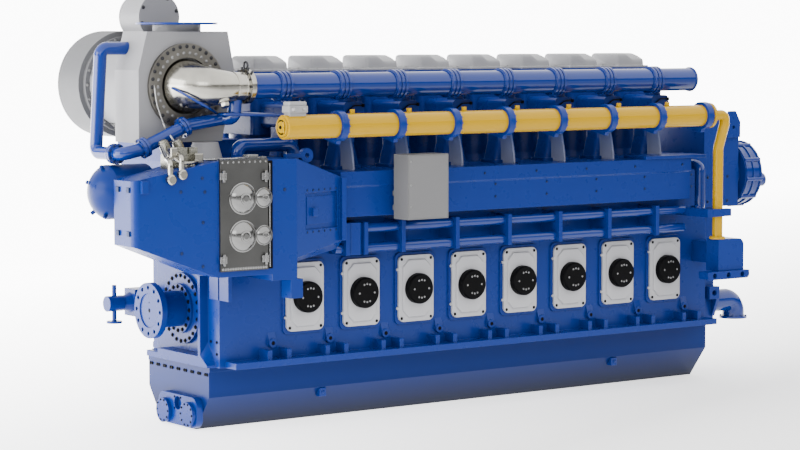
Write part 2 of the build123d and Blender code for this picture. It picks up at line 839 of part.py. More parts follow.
# Gas pipe, its clamps, feeds to the ducts, taps on top and the small drop pipe
def gas_pipe():
    body = drum((GAS_LEFT, -GAS_Y, GAS_Z), TO_X, GAS_R, GAS_RIGHT - GAS_LEFT)
    return body + drum((GAS_LEFT, -GAS_Y, GAS_Z), AWAY_X, GAS_CAP_R, GAS_CAP_T)


def gas_clamps():
    made = []
    for x in CYL_X:
        ring = drum((x - CLAMP_W / 2, -GAS_Y, GAS_Z), TO_X, CLAMP_R, CLAMP_W)
        arm = [(-GAS_Y - GAS_R / 2, GAS_Z), (-GAS_Y, GAS_Z - CLAMP_ARM_DROP), (-DUCT_FRONT, DUCT_Z[0]),
               (-DUCT_FRONT, GAS_Z)]
        ring += along_x(arm, (x - CLAMP_ARM_T / 2, x + CLAMP_ARM_T / 2))
        core = drum((x - CLAMP_W, -GAS_Y, GAS_Z), TO_X, GAS_R, CLAMP_W * 2)
        made.append(ring - core)
    return made


def gas_feeds():
    core = drum((GAS_LEFT, -GAS_Y, GAS_Z), TO_X, GAS_R, GAS_RIGHT - GAS_LEFT)
    made = []
    for x in CYL_X:
        feed = drum((x + DUCT_DX, -GAS_Y, GAS_Z + FEED_UP), FAR, FEED_R, GAS_Y - DUCT_FRONT)
        made.append(feed - core)
    return made


def gas_taps():
    core = drum((GAS_LEFT, -GAS_Y, GAS_Z), TO_X, GAS_R, GAS_RIGHT - GAS_LEFT)
    return [drum((x + TAP_DX, -GAS_Y, GAS_Z), UP, TAP_R, GAS_R + TAP_H) - core for x in CYL_X[:-1]]


def gas_drop():
    start = GAS_RIGHT
    high, low = DROP_IN_Z
    inner = -GAS_Y + DROP_IN
    bottom = GBLOCK_Z[1]
    points = [(start, -GAS_Y, GAS_Z), (DROP_X, -GAS_Y, GAS_Z), (DROP_X, -GAS_Y, high),
              (DROP_X, inner, low), (DROP_X, inner, bottom)]
    body = pipe(points, DROP_R, DROP_BEND / 2)
    body += drum((start, -GAS_Y, GAS_Z), TO_X, DROP_START_R, DROP_START_T)
    return body + drum((DROP_X, inner, bottom), UP, DROP_FLANGE_R, DROP_FLANGE_T)


# Block under the drop pipe and the three-hole plate it stands on
def gas_block():
    x0, x1 = X_RIGHT - GBLOCK_IN[0], X_RIGHT - GBLOCK_IN[1]
    z0, z1 = GBLOCK_Z
    back = -GBLOCK_FRONT + GBLOCK_D
    body = slab((x0, x1), (-GBLOCK_FRONT, back), (z0, z1))
    edges = body.edges().filter_by(Axis.Y).group_by(Axis.Z)[-1]
    body = fillet(edges.sort_by(Axis.X)[-1], GBLOCK_R)
    return body + slab((x1 - GNECK_W, x1), (back, -WALL_Y), (z0 + GNECK_DROP, z1 - GNECK_DROP))


def gas_block_plate():
    x0, x1 = X_RIGHT - GPLATE_IN[0], X_RIGHT - GPLATE_IN[1]
    top = GBLOCK_Z[0]
    body = slab((x0, x1), (-GPLATE_FRONT, -GPLATE_FRONT + GPLATE_D), (top - GPLATE_T, top))
    edges = body.edges().filter_by(Axis.Y).group_by(Axis.Z)[0]
    body = fillet(edges, GPLATE_R)
    step = (x1 - x0) / GPLATE_HOLE_COUNT
    for hole in range(GPLATE_HOLE_COUNT):
        spot = (x0 + step / 2 + step * hole, -GPLATE_FRONT - OVERRUN, top - GPLATE_T / 2)
        body -= drum(spot, FAR, GPLATE_HOLE_R, GPLATE_HOLE_DEPTH + OVERRUN)
    return body


# Arm that holds the drop pipe
def gas_arm():
    x0 = SIDE_RIGHT
    block = slab((x0, x0 + ARM_BLOCK_W), (-ARM_FRONT, -WALL_Y), ARM_Z)
    arm = slab((x0, x0 + ARM_L), (-ARM_FRONT, -ARM_FRONT + ARM_T), ARM_Z)
    inner = -GAS_Y + DROP_IN
    core = drum((DROP_X, inner, ARM_Z[0] - OVERRUN), UP, DROP_R, ARM_Z[1] - ARM_Z[0] + OVERRUN * 2)
    return block + arm - core


# Riser pipe beside the arm
def pump_riser():
    x = SIDE_RIGHT + ARM_BLOCK_W
    z = (ARM_Z[0] + ARM_Z[1]) / 2
    points = [(x, -RISER_Y, z), (x + RISER_OUT, -RISER_Y, z), (x + RISER_OUT, -RISER_Y, RISER_TOP),
              (x + RISER_OUT, -WALL_Y, RISER_TOP)]
    return pipe(points, RISER_R, RISER_BEND)


# Control box on two rails
def control_box():
    xs = (CYL_X[1] + BOX_DX[0], CYL_X[1] + BOX_DX[1])
    body = slab(xs, (-BOX_Y, -BOX_BACK), BOX_Z)
    for z in (RECV_Z + BOX_RAIL_H, RECV_CREASE_Z - BOX_RAIL_H * 2):
        rail = (xs[0] + BOX_RAIL_W, xs[1] - BOX_RAIL_W)
        body += slab(rail, (-BOX_BACK, -RECV_Y), (z, z + BOX_RAIL_H))
    return body


# Charge air cooler with brackets, plate, domes, diffuser, outlet housing, vessel and air run
def cooler_housing():
    body = slab((COOLER_LEFT, COOLER_MID), (-COOLER_FRONT, -WALL_Y), COOLER_Z)
    body += slab((COOLER_MID, COOLER_RIGHT), (-COOLER_FRONT, -WALL_Y), (COOLER_SIDE_Z, COOLER_TOP))
    leg_x = COOLER_RIGHT + LEG_OUT
    leg_z = (COOLER_SIDE_Z - LEG_H, COOLER_SIDE_Z)
    body += slab((leg_x - LEG_W, leg_x), (-COOLER_FRONT, -COOLER_FRONT + LEG_D), leg_z)
    eye_x = COOLER_RIGHT + EYE_OUT
    eye_y = -COOLER_FRONT + EYE_IN
    eye_z = COOLER_TOP + EYE_UP
    ys = (eye_y - EYE_T / 2, eye_y + EYE_T / 2)
    body += slab((eye_x - EYE_ARM_L, eye_x), ys, (COOLER_TOP, COOLER_TOP + EYE_ARM_H))
    body += drum((eye_x, ys[0], eye_z), FAR, EYE_R, EYE_T)
    return body - drum((eye_x, ys[0] - OVERRUN, eye_z), FAR, EYE_BORE_R, EYE_T + OVERRUN * 2)


def cooler_brackets():
    made = []
    for y in STAY_Y:
        made.append(slab((X_LEFT - STAY_T, X_LEFT), (-y - STAY_W, -y), (COOLER_LOW - STAY_H, COOLER_LOW)))
    return made


def cooler_plate():
    xs = (COOLER_LEFT + PLATE_IN[0], COOLER_MID - PLATE_IN[1])
    return slab(xs, (-COOLER_FRONT - PLATE_T, -COOLER_FRONT), PLATE_Z)


def cooler_domes():
    made = []
    face = -COOLER_FRONT - PLATE_T
    for inset, r in ((DOME_BIG_IN, DOME_BIG_R), (DOME_SMALL_IN, DOME_SMALL_R)):
        for z in DOME_Z:
            made.append(dome((COOLER_LEFT + inset, face, z), NEAR, r, r * DOME_H_SHARE))
    return made


def air_diffuser():
    wide = corners((-COOLER_FRONT, -WALL_Y), COOLER_Z)
    mouth = corners((-DIFF_Y[1], -DIFF_Y[0]), DIFF_Z)
    body = between_x(COOLER_LEFT, wide, DIFF_LEFT, mouth)
    upright = body.edges().filter_by(Axis.Z).sort_by(Axis.X)[:2]
    body = fillet(upright.sort_by(Axis.Y)[0], DIFF_ROUND)
    lug_x = [DIFF_LEFT + inset for inset in DIFF_LUG_IN]
    return body + slab(lug_x, (-DIFF_Y[1] - DIFF_LUG_D, -DIFF_Y[1]), (DIFF_Z[1] - DIFF_LUG_H, DIFF_Z[1]))


def outlet_outline(front, low, high, cut):
    return [(-front, high), (-front, low + cut[1]), (-front + cut[0], low), (-WALL_Y, low), (-WALL_Y, high)]


def outlet_front(share):
    x = COOLER_RIGHT + (SIDE_LEFT - COOLER_RIGHT) * share
    return x, -COOLER_FRONT + (COOLER_FRONT - OUT_FRONT) * share


def air_outlet():
    tall = outlet_outline(COOLER_FRONT, OUT_LEFT_Z, COOLER_TOP, OUT_LEFT_CUT)
    short = outlet_outline(OUT_FRONT, *OUT_RIGHT_Z, OUT_RIGHT_CUT)
    body = between_x(COOLER_RIGHT, tall, SIDE_LEFT, short)
    (x0, y0), (x1, y1) = [outlet_front(share) for share in OUT_PANEL_SHARES]
    hollow = Polyline((x0, y0 - OVERRUN), (x1, y1 - OVERRUN), (x1, y1 + OUT_PANEL_T), (x0, y0 + OUT_PANEL_T),
                      close=True)
    low, high = OUT_PANEL_Z
    body -= extrude(Pos(0, 0, low) * make_face(hollow), amount=high - low)
    bar_z = (OUT_RIGHT_Z[0] + OUT_RIGHT_CUT[1], OUT_RIGHT_Z[1])
    return body + slab((SIDE_LEFT - OUT_BAR_W, SIDE_LEFT), (-OUT_FRONT - OUT_BAR_D, -OUT_FRONT), bar_z)


def air_vessel():
    base = (DIFF_LEFT - VESSEL_OUT + VESSEL_TIP, -VESSEL_Y, VESSEL_Z)
    body = drum(base, TO_X, VESSEL_R, VESSEL_L) + dome(base, AWAY_X, VESSEL_R, VESSEL_TIP)
    return body - air_diffuser()


def air_run():
    top = COOLER_TOP
    x0, x1 = COOLER_MID - RUN_IN, COOLER_RIGHT + RUN_OUT
    points = [(x0, -RUN_Y, top), (x0, -RUN_Y, top + RUN_UP), (x1, -RUN_Y, top + RUN_UP),
              (x1, -RUN_Y, top - RUN_END_DROP)]
    return pipe(points, RUN_R, RUN_BEND) - air_outlet()


# Valve group on the diffuser: body, two leaning cans, two caps and two barrels
def valve_group():
    x0, x1 = TURBO_X + GROUP_DX[0], TURBO_X + GROUP_DX[1]
    front, back = GROUP_Y
    middle = (front + back) / 2
    top = GROUP_Z[1]
    body = slab((x0, x1), GROUP_Y, GROUP_Z)
    for inset in CAN_IN:
        body += drum((x0 + inset, middle, top - CAN_R), (CAN_LEAN_SHARE, 0, 1), CAN_R, CAN_H)
    for inset in CAP_IN:
        xs = (x0 + inset - CAP_W / 2, x0 + inset + CAP_W / 2)
        body += slab(xs, (front, front + CAP_W), (top - CAP_OVER, top - CAP_OVER + CAP_H))
    for inset in BARREL_IN:
        body += drum((x0 + inset, front, BARREL_Z), NEAR, BARREL_R, BARREL_L)
    return body - air_diffuser()


# Turbocharger: gas casing, ring, inlet bend, outlet lid, compressor, silencer, bracket
def gas_casing():
    top0, top1 = [TURBO_X + dx for dx in CASING_TOP_DX]
    mid0, mid1 = [TURBO_X + dx for dx in CASING_MID_DX]
    foot0, foot1 = [TURBO_X + dx for dx in CASING_FOOT_DX]
    outline = [(foot0, CASING_BOTTOM), (mid0, CASING_MID_Z), (top0, CASING_TOP), (top1, CASING_TOP),
               (mid1, CASING_MID_Z), (foot1, CASING_BOTTOM)]
    body = along_y(outline, (-CASING_FRONT, -CASING_BACK))
    neck = (TURBO_X + NECK_OUT_DX, -NECK_OUT_Y, CASING_TOP)
    return body + drum(neck, UP, NECK_OUT_R, NECK_OUT_Z - CASING_TOP)


def turbine_ring():
    face = (TURBO_X, -CASING_FRONT, TURBO_Z)
    ring = drum(face, NEAR, RING_R, RING_T)
    return ring - drum((TURBO_X, -CASING_FRONT + OVERRUN, TURBO_Z), NEAR, RING_BORE_R, RING_T + OVERRUN * 2)


def turbine_bend():
    start = -CASING_FRONT
    sweep_r = EXH_Y + start
    sections = []
    for step in range(BEND_SECTION_COUNT):
        turn = step / (BEND_SECTION_COUNT - 1)
        r = BEND_R0 + (BEND_R1 - BEND_R0) * turn
        arc = Plane(origin=(TURBO_X + sweep_r, start, TURBO_Z), z_dir=UP).rotated((0, 0, turn * 90))
        spot = arc.from_local_coords((-sweep_r, 0, 0))
        heading = arc.from_local_coords((-sweep_r, -1, 0)) - spot
        sections.append(Plane(origin=spot, z_dir=heading) * Circle(r))
    body = loft(Sketch() + sections)
    body += drum((TURBO_X + sweep_r, -EXH_Y, TURBO_Z), TO_X, BEND_R1, BEND_END - TURBO_X - sweep_r)
    return body + drum((BEND_END - BEND_FLANGE_T, -EXH_Y, TURBO_Z), TO_X, BEND_FLANGE_R, BEND_FLANGE_T)


def outlet_lid():
    return drum((TURBO_X + NECK_OUT_DX, -NECK_OUT_Y, NECK_OUT_Z), UP, LID_R, LID_T)


def compressor():
    body = drum((TURBO_X, -CASING_BACK, TURBO_Z), FAR, COMP_R, COMP_BACK + CASING_BACK)
    top_x = TURBO_X + TOP_DRUM_DX
    ys = (-TOP_DRUM_FRONT, COMP_BACK)
    body += drum((top_x, ys[0], TOP_DRUM_Z), FAR, TOP_DRUM_R, ys[1] - ys[0])
    body += slab((top_x - TOP_NECK_W / 2, top_x + TOP_NECK_W / 2), ys, (TURBO_Z, TOP_DRUM_Z))
    neck = (TURBO_X + COMP_NECK_DX, COMP_NECK_Y, CASING_BOTTOM)
    return body + drum(neck, UP, COMP_NECK_R, TURBO_Z - CASING_BOTTOM)


def silencer():
    body = drum((TURBO_X, COMP_BACK, TURBO_Z), FAR, SIL_FACE_R, SIL_L)
    return body + drum((TURBO_X, COMP_BACK + SIL_FACE_T, TURBO_Z), FAR, SIL_R, SIL_L - SIL_FACE_T)


def turbo_bracket():
    x0, x1 = X_LEFT - BRACKET_OUT, X_LEFT + BRACKET_IN
    outline = [(x1, DECK_Z), (x1, CASING_BOTTOM), (x0, CASING_BOTTOM), (x0, CASING_BOTTOM - BRACKET_NOSE),
               (X_LEFT, DECK_Z - BRACKET_DROP), (X_LEFT, DECK_Z)]
    return along_y(outline, BRACKET_Y)


def bend_support():
    spot = (TURBO_X + CONE_DX, -CONE_Y, COOLER_TOP)
    return taper(spot, UP, *CONE_R, CASING_BOTTOM - COOLER_TOP)


# Bypass pipe from the gas casing round the valve group to the turbine bend, with its flange pairs
def bypass_points():
    stops = [(BYPASS_IN, *BYPASS_TOP[1:]), BYPASS_TOP, BYPASS_LOW, BYPASS_TURN, BYPASS_RISE, BYPASS_MID,
             BYPASS_NEAR, BYPASS_UNDER]
    points = [Vector(TURBO_X - out, y, TURBO_Z + up) for out, y, up in stops]
    return points + [Vector(points[-1].X, -EXH_Y, TURBO_Z - BYPASS_JOIN_DROP)]


def flange_pair(start, stop, share):
    middle = start + (stop - start) * share
    along = (stop - start).normalized()
    pair = drum(middle - along * BYPASS_FLANGE_GAP, along, BYPASS_NECK_R, BYPASS_FLANGE_GAP * 2)
    for way in (along, along * -1):
        pair += drum(middle + way * (BYPASS_FLANGE_GAP / 2), way, BYPASS_FLANGE_R, BYPASS_FLANGE_T)
    return pair


def bypass_pipe():
    points = bypass_points()
    body = pipe(points, BYPASS_R, BYPASS_BEND)
    low, turn, rise, mid = points[2:6]
    body += [flange_pair(low, turn, share) for share in BYPASS_LOW_SHARES]
    body += [flange_pair(rise, mid, share) for share in BYPASS_RUN_SHARES]
    return body - gas_casing() - turbine_bend()


# Pump end: casing with a lug and a lifting ear, water pumps, lube oil bend
def lifting_ear():
    x0, x1 = [END_CASE_RIGHT - inset for inset in EAR_IN]
    top0, top1 = [END_CASE_RIGHT - inset for inset in EAR_TOP_IN]
    low, right, left, top = [END_CASE_Z[1] + rise for rise in EAR_UP]
    outline = [(x0, low), (x1, low), (x1, right), (top1, top), (top0, top), (x0, left)]
    front = -END_CASE_Y - EAR_T
    bore = (END_CASE_RIGHT - EAR_BORE_IN, front - OVERRUN, END_CASE_Z[1] - EAR_BORE_DROP)
    return along_y(outline, (front, -END_CASE_Y)) - drum(bore, FAR, EAR_BORE_R, EAR_T + OVERRUN)


def end_casing():
    z0, z1 = END_CASE_Z
    outline = [(X_RIGHT, z0), (END_CASE_RIGHT, z0), (END_CASE_RIGHT, z1 - END_CASE_CUT),
               (END_CASE_RIGHT - END_CASE_CUT, z1), (X_RIGHT, z1)]
    body = along_y(outline, (-END_CASE_Y, END_CASE_Y))
    body += slab((X_RIGHT, SUMP_RIGHT), (-LOW_CASE_Y, LOW_CASE_Y), (SPLIT_Z, z0))
    face = -LOW_CASE_Y - LUG_D
    body += slab((SUMP_RIGHT - LUG_W, SUMP_RIGHT), (face, -LOW_CASE_Y), LUG_Z)
    web = [(face, LUG_Z[0]), (-LOW_CASE_Y, LUG_Z[0]), (-LOW_CASE_Y, LUG_WEB_Z),
           (-LOW_CASE_Y - LUG_WEB_D, LUG_WEB_Z)]
    body += along_x(web, (SUMP_RIGHT - LUG_WEB_T, SUMP_RIGHT))
    bore = (SUMP_RIGHT - LUG_W / 2, face - OVERRUN, (LUG_Z[0] + LUG_Z[1]) / 2)
    return body + lifting_ear() - drum(bore, FAR, LUG_BORE_R, LUG_D + OVERRUN)


def water_pumps():
    made = []
    for side in (-1, 1):
        x = END_CASE_RIGHT
        body = drum((x, side * PUMP_Y, PUMP_Z), TO_X, PUMP_HUB_R, PUMP_HUB_L)
        body += drum((x + PUMP_HUB_L, side * PUMP_Y, PUMP_Z), TO_X, PUMP_R, PUMP_L)
        body += drum((x + PUMP_HUB_L + PUMP_L, side * PUMP_Y, PUMP_Z), TO_X, PUMP_CAP_R, PUMP_CAP_L)
        stub = (x + PUMP_HUB_L + PUMP_L + PUMP_CAP_L, side * PUMP_Y, PUMP_Z - PUMP_STUB_DROP)
        made.append(body + drum(stub, TO_X, PUMP_STUB_R, PUMP_STUB_L))
    return made


def lube_elbow():
    x = SUMP_RIGHT
    points = [(x, -LUBE_Y, LUBE_Z), (x + LUBE_L, -LUBE_Y, LUBE_Z), (x + LUBE_L, -LUBE_Y, LUBE_Z - LUBE_DROP)]
    body = pipe(points, LUBE_R, LUBE_R + LUBE_FLANGE_T)
    return body + drum(points[-1], UP, LUBE_FLANGE_R, LUBE_FLANGE_T)


# Hidden side: camshaft casing with covers, fuel pumps on the deck
def cam_casing():
    return slab((MID_X[0], MID_X[-1]), (WALL_Y, CAM_Y), CAM_Z)


def cam_covers():
    z = (CAM_Z[0] + CAM_Z[1]) / 2
    return [tablet(x, z, CAM_COVER_W, CAM_COVER_H, CAM_COVER_R, (CAM_Y, CAM_Y + CAM_COVER_T)) for x in CYL_X]


def fuel_pumps():
    body = extrude(RectangleRounded(FUEL_W, FUEL_D, FUEL_R), amount=FUEL_H)
    body += drum((0, 0, FUEL_H), UP, FUEL_TOP_R, FUEL_TOP_H)
    return [Pos(x, FUEL_Y, DECK_Z) * body for x in CYL_X]


keep("engine_block", engine_block())
keep("oil_sump", oil_sump())
keep("sump_end_box", sump_end_box())
keep("sump_covers", *sump_covers())
keep("crankcase_doors", *doors(-1))
keep("far_crankcase_doors", *doors(1))
keep("relief_valves", *relief_valves())
keep("crank_end_cover", crank_end_cover())
keep("crank_flange", crank_flange())
keep("turning_gear", turning_gear())
keep("water_pipe_low", water_pipe(WATER_Z[0]))
keep("water_pipe_high", water_pipe(WATER_Z[1]))
keep("water_pipe_brackets", *water_brackets())
keep("air_receiver", air_receiver())
keep("cylinder_jackets", *cylinder_jackets())
keep("cylinder_heads", *cylinder_heads())
keep("head_covers", *head_covers())
keep("inlet_ducts", *inlet_ducts())
keep("exhaust_pipe", *exhaust_pipe())
keep("exhaust_bellows", *exhaust_bellows())
keep("exhaust_branches", *exhaust_branches())
keep("gas_pipe", gas_pipe())
keep("gas_pipe_clamps", *gas_clamps())
keep("gas_feeds", *gas_feeds())
keep("gas_taps", *gas_taps())
keep("gas_drop_pipe", gas_drop())
keep("gas_block", gas_block())
keep("gas_block_plate", gas_block_plate())
keep("gas_pipe_arm", gas_arm())
keep("pump_riser", pump_riser())
keep("control_box", control_box())
keep("cooler_housing", cooler_housing())
keep("cooler_brackets", *cooler_brackets())
keep("cooler_plate", cooler_plate())
keep("cooler_domes", *cooler_domes())
keep("air_diffuser", air_diffuser())
keep("air_outlet", air_outlet())
keep("air_vessel", air_vessel())
keep("air_run_pipe", air_run())
keep("valve_group", valve_group())
keep("gas_casing", gas_casing())
keep("turbine_ring", turbine_ring())
keep("turbine_bend", turbine_bend())
keep("outlet_lid", outlet_lid())
keep("compressor", compressor())
keep("silencer", silencer())
keep("turbo_bracket", turbo_bracket())
keep("bend_support", bend_support())
keep("bypass_pipe", bypass_pipe())
keep("end_casing", end_casing())
keep("water_pumps", *water_pumps())
keep("lube_elbow", lube_elbow())
keep("cam_casing", cam_casing())
keep("cam_covers", *cam_covers())
keep("fuel_pumps", *fuel_pumps())

os.makedirs("parts", exist_ok=True)
for name, solids in PARTS.items():
    export_step(solids[0] if len(solids) == 1 else Compound(solids), f"parts/{name}.step")
    print(name, len(solids))
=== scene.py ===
# %% [markdown]
# # Dressing a dual-fuel engine
# The solids of this engine come from CAD and stay where they are. This lesson paints them, adds the bolts,
# lids, leads and fittings that a CAD model leaves out, and sets up a plain studio. Everything is in metres:
# +X runs along the crankshaft, -Y is the air side, and the floor is Z = 0.

# %% Load the solids
import math

import bmesh
import bpy
from mathutils import Matrix, Vector


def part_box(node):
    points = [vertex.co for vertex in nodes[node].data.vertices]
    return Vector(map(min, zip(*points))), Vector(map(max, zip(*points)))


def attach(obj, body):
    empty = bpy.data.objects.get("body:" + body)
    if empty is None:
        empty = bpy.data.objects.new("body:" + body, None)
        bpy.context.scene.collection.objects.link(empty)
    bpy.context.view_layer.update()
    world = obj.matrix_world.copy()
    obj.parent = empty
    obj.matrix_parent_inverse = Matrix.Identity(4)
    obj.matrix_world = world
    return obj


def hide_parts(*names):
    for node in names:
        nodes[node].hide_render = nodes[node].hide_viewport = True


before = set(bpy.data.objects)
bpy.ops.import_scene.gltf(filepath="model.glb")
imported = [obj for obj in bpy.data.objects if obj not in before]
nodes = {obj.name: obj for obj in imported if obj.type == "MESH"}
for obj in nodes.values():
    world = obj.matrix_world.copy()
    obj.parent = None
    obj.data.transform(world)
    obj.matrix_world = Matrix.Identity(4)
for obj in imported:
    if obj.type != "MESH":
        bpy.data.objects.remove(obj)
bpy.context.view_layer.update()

# %% [markdown]
# ## Enamel paint
# Machine enamel is a smooth coloured film with a slight orange peel, and it lies thinner on edges, so edges
# look paler. A picture could be wrapped round the pieces, but nodes make the same paint at any size,
# without seams. One function makes all the enamels: a large soft cloud varies the colour, a fine noise
# makes the peel, and the Bevel node rounds edges in the shading only, which keeps the CAD mesh untouched. A
# paint may change towards the foot of its piece: the sump is drawn darker there, painted shade that comes
# near the shade in the photograph, and the duct cheeks get a pale painted reflection there.

# %% Nodes for finishes
def start_finish(name):
    finish = bpy.data.materials.new(name)
    finish.use_nodes = True
    tree = finish.node_tree
    return finish, tree, tree.nodes["Principled BSDF"]


def add_noise(tree, scale, detail, vector=None):
    noise = tree.nodes.new("ShaderNodeTexNoise")
    noise.inputs["Scale"].default_value = scale
    noise.inputs["Detail"].default_value = detail
    if vector is None:
        vector = tree.nodes.new("ShaderNodeTexCoord").outputs["Object"]
    tree.links.new(vector, noise.inputs["Vector"])
    return noise.outputs["Fac"]


def spread(tree, value, from_range, to_range=(0.0, 1.0)):
    node = tree.nodes.new("ShaderNodeMapRange")
    for socket, number in zip(("From Min", "From Max", "To Min", "To Max"), (*from_range, *to_range)):
        node.inputs[socket].default_value = number
    tree.links.new(value, node.inputs["Value"])
    return node.outputs["Result"]


def mix_colours(tree, amount, first, second):
    node = tree.nodes.new("ShaderNodeMix")
    node.data_type = "RGBA"
    tree.links.new(amount, node.inputs["Factor"])
    for socket, colour in (("A", first), ("B", second)):
        spot = [s for s in node.inputs if s.name == socket and s.type == "RGBA"][0]
        if isinstance(colour, tuple):
            spot.default_value = (*colour, 1)
        else:
            tree.links.new(colour, spot)
    return [s for s in node.outputs if s.type == "RGBA"][0]


def combine(tree, operation, first, second):
    node = tree.nodes.new("ShaderNodeMath")
    node.operation = operation
    tree.links.new(first, node.inputs[0])
    tree.links.new(second, node.inputs[1])
    return node.outputs["Value"]


def dot_product(tree, first, second):
    node = tree.nodes.new("ShaderNodeVectorMath")
    node.operation = "DOT_PRODUCT"
    tree.links.new(first, node.inputs[0])
    if isinstance(second, tuple):
        node.inputs[1].default_value = second
    else:
        tree.links.new(second, node.inputs[1])
    return node.outputs["Value"]


def height_of(tree, vector):
    split = tree.nodes.new("ShaderNodeSeparateXYZ")
    tree.links.new(vector, split.inputs["Vector"])
    return split.outputs["Z"]


def rounded_normal(tree, rounding):
    bevel = tree.nodes.new("ShaderNodeBevel")
    bevel.samples = 6
    bevel.inputs["Radius"].default_value = rounding
    return bevel.outputs["Normal"]


def add_bump(tree, shader, height, strength, depth, normal):
    bump = tree.nodes.new("ShaderNodeBump")
    bump.inputs["Strength"].default_value = strength
    bump.inputs["Distance"].default_value = depth
    tree.links.new(height, bump.inputs["Height"])
    tree.links.new(normal, bump.inputs["Normal"])
    tree.links.new(bump.outputs["Normal"], shader.inputs["Normal"])


# %% Enamel
# A noise is given by its scale and detail, and a range says between which values it counts.
cloud_noise, cloud_range = (1.1, 4), (0.35, 0.68)
wear_noise, wear_range, wear_amount = (9.0, 3), (0.35, 0.75), (0.1, 0.8)
gloss_noise, gloss_range, gloss_below, gloss_above = (6.0, 5), (0.3, 0.7), 0.02, 0.03
peel_noise, peel_strength, peel_depth = (190.0, 2), 0.06, 0.0006
enamel_rounding, edge_range, edge_lift = 0.010, (0.98, 0.80), 0.004


def enamel(name, colour, rough, pale=1.35, cloud=0.97, shine=0.20, foot=None, fade=None):
    finish, tree, shader = start_finish(name)
    shape = tree.nodes.new("ShaderNodeNewGeometry")
    dim = tuple(c * cloud for c in colour)
    thin = tuple(min(1.0, c * pale + edge_lift) for c in colour)
    body = mix_colours(tree, spread(tree, add_noise(tree, *cloud_noise), cloud_range), dim, colour)
    # Below the fade heights the colour turns to the foot colour: painted shade on the sump, a painted
    # reflection on the duct cheeks.
    if foot:
        body = mix_colours(tree, spread(tree, height_of(tree, shape.outputs["Position"]), fade), foot, body)
    soft = rounded_normal(tree, enamel_rounding)
    edge = spread(tree, dot_product(tree, soft, shape.outputs["Normal"]), edge_range)
    wear = spread(tree, add_noise(tree, *wear_noise), wear_range, wear_amount)
    worn = mix_colours(tree, combine(tree, "MULTIPLY", edge, wear), body, thin)
    tree.links.new(worn, shader.inputs["Base Color"])
    gloss_amount = (rough - gloss_below, rough + gloss_above)
    gloss = spread(tree, add_noise(tree, *gloss_noise), gloss_range, gloss_amount)
    tree.links.new(gloss, shader.inputs["Roughness"])
    add_bump(tree, shader, add_noise(tree, *peel_noise), peel_strength, peel_depth, soft)
    shader.inputs["Specular IOR Level"].default_value = shine
    return finish


# %% Enamel colours
# The sump, the air vessel and its pegs take a darker copy of the blue as painted shade, and the sump's foot
# is painted darker still towards the floor, more painted shade.
sump_shade_heights = (0.02, 0.50)
blue = enamel("blue_enamel", (0.0010, 0.0180, 0.150), 0.28)
sump_blue_painted_shade = enamel("sump_blue_painted_shade", (0.0008, 0.0130, 0.105), 0.30, shine=0.12,
                   foot=(0.0002, 0.0025, 0.016), fade=sump_shade_heights)
pipe_blue = enamel("pipe_blue", (0.0012, 0.0180, 0.150), 0.09, shine=0.42)
grey = enamel("turbocharger_grey", (0.20, 0.20, 0.21), 0.42, pale=1.15)
# The silencer has the casing's grey paint; this darker copy of it is painted shade.
silencer_grey_painted_shade = enamel("silencer_grey_painted_shade", (0.105, 0.106, 0.111), 0.45, pale=1.15, shine=0.10)
box_grey = enamel("control_box_grey", (0.142, 0.142, 0.145), 0.48, pale=1.12, shine=0.06)
door_white = enamel("door_enamel", (0.37, 0.37, 0.386), 0.40, pale=1.1, cloud=0.94)
cover_white = enamel("head_cover_enamel", (0.26, 0.26, 0.268), 0.42, pale=1.1, cloud=0.94)
yellow = enamel("gas_yellow", (0.39, 0.225, 0.0), 0.10, pale=1.15, shine=0.15)
black = enamel("valve_black", (0.0015, 0.0015, 0.0018), 0.50, pale=2.0, shine=0.06)
# A darker copy of the blue, painted shade, for blue bolts and blocks.
blue_in_painted_shade = enamel("shaded_blue", (0.003, 0.012, 0.06), 0.45)
print("enamels:", len(bpy.data.materials))

# %% [markdown]
# ## Bare metal
# The heat shield over the turbine bend, the pressed caps and the bolts are bare metal. Metal has no colour
# film, so the colour goes into the reflection. A stretched noise gives the brushed sheet its grain, because
# drawn scratches would have to be laid over each face by hand.

# %% Metals
patch_noise, patch_range = (3.0, 5), (0.3, 0.7)
grain_noise, grain_range, grain_strength, grain_depth = (1.0, 3), (0.3, 0.7), 0.15, 0.0004
metal_rounding, gloss_change, smoothest = 0.006, 0.06, 0.02


def metal(name, colour, rough, grain=(60.0, 60.0, 60.0), cloud=0.8):
    finish, tree, shader = start_finish(name)
    shader.inputs["Metallic"].default_value = 1.0
    patches = spread(tree, add_noise(tree, *patch_noise), patch_range)
    body = mix_colours(tree, patches, tuple(c * cloud for c in colour), colour)
    tree.links.new(body, shader.inputs["Base Color"])
    stretch = tree.nodes.new("ShaderNodeMapping")
    stretch.inputs["Scale"].default_value = grain
    tree.links.new(tree.nodes.new("ShaderNodeTexCoord").outputs["Object"], stretch.inputs["Vector"])
    brushed = add_noise(tree, *grain_noise, stretch.outputs["Vector"])
    gloss = (max(smoothest, rough - gloss_change), rough + gloss_change)
    tree.links.new(spread(tree, brushed, grain_range, gloss), shader.inputs["Roughness"])
    add_bump(tree, shader, brushed, grain_strength, grain_depth, rounded_normal(tree, metal_rounding))
    return finish


shield = metal("bright_shield", (0.38, 0.367, 0.325), 0.20, cloud=0.72)
cap_metal = metal("bright_cap", (0.21, 0.21, 0.207), 0.18)
cooler_sheet = metal("cooler_sheet", (0.085, 0.085, 0.083), 0.45, grain=(12.0, 12.0, 420.0))
ring_iron = metal("ring_iron", (0.20, 0.19, 0.17), 0.40, cloud=0.6)
bolt_steel = metal("bolt_steel", (0.30, 0.30, 0.30), 0.30)
brass = metal("valve_brass", (0.30, 0.295, 0.255), 0.28)
black_steel = metal("black_steel", (0.05, 0.05, 0.055), 0.42)
print("finishes:", len(bpy.data.materials))

# %% [markdown]
# ## Paint the solids
# Most of the engine is one blue, so only the nodes that differ are listed. Each gets its finish by name.
# Only the material slot changes, so the solids stay exactly as packed.

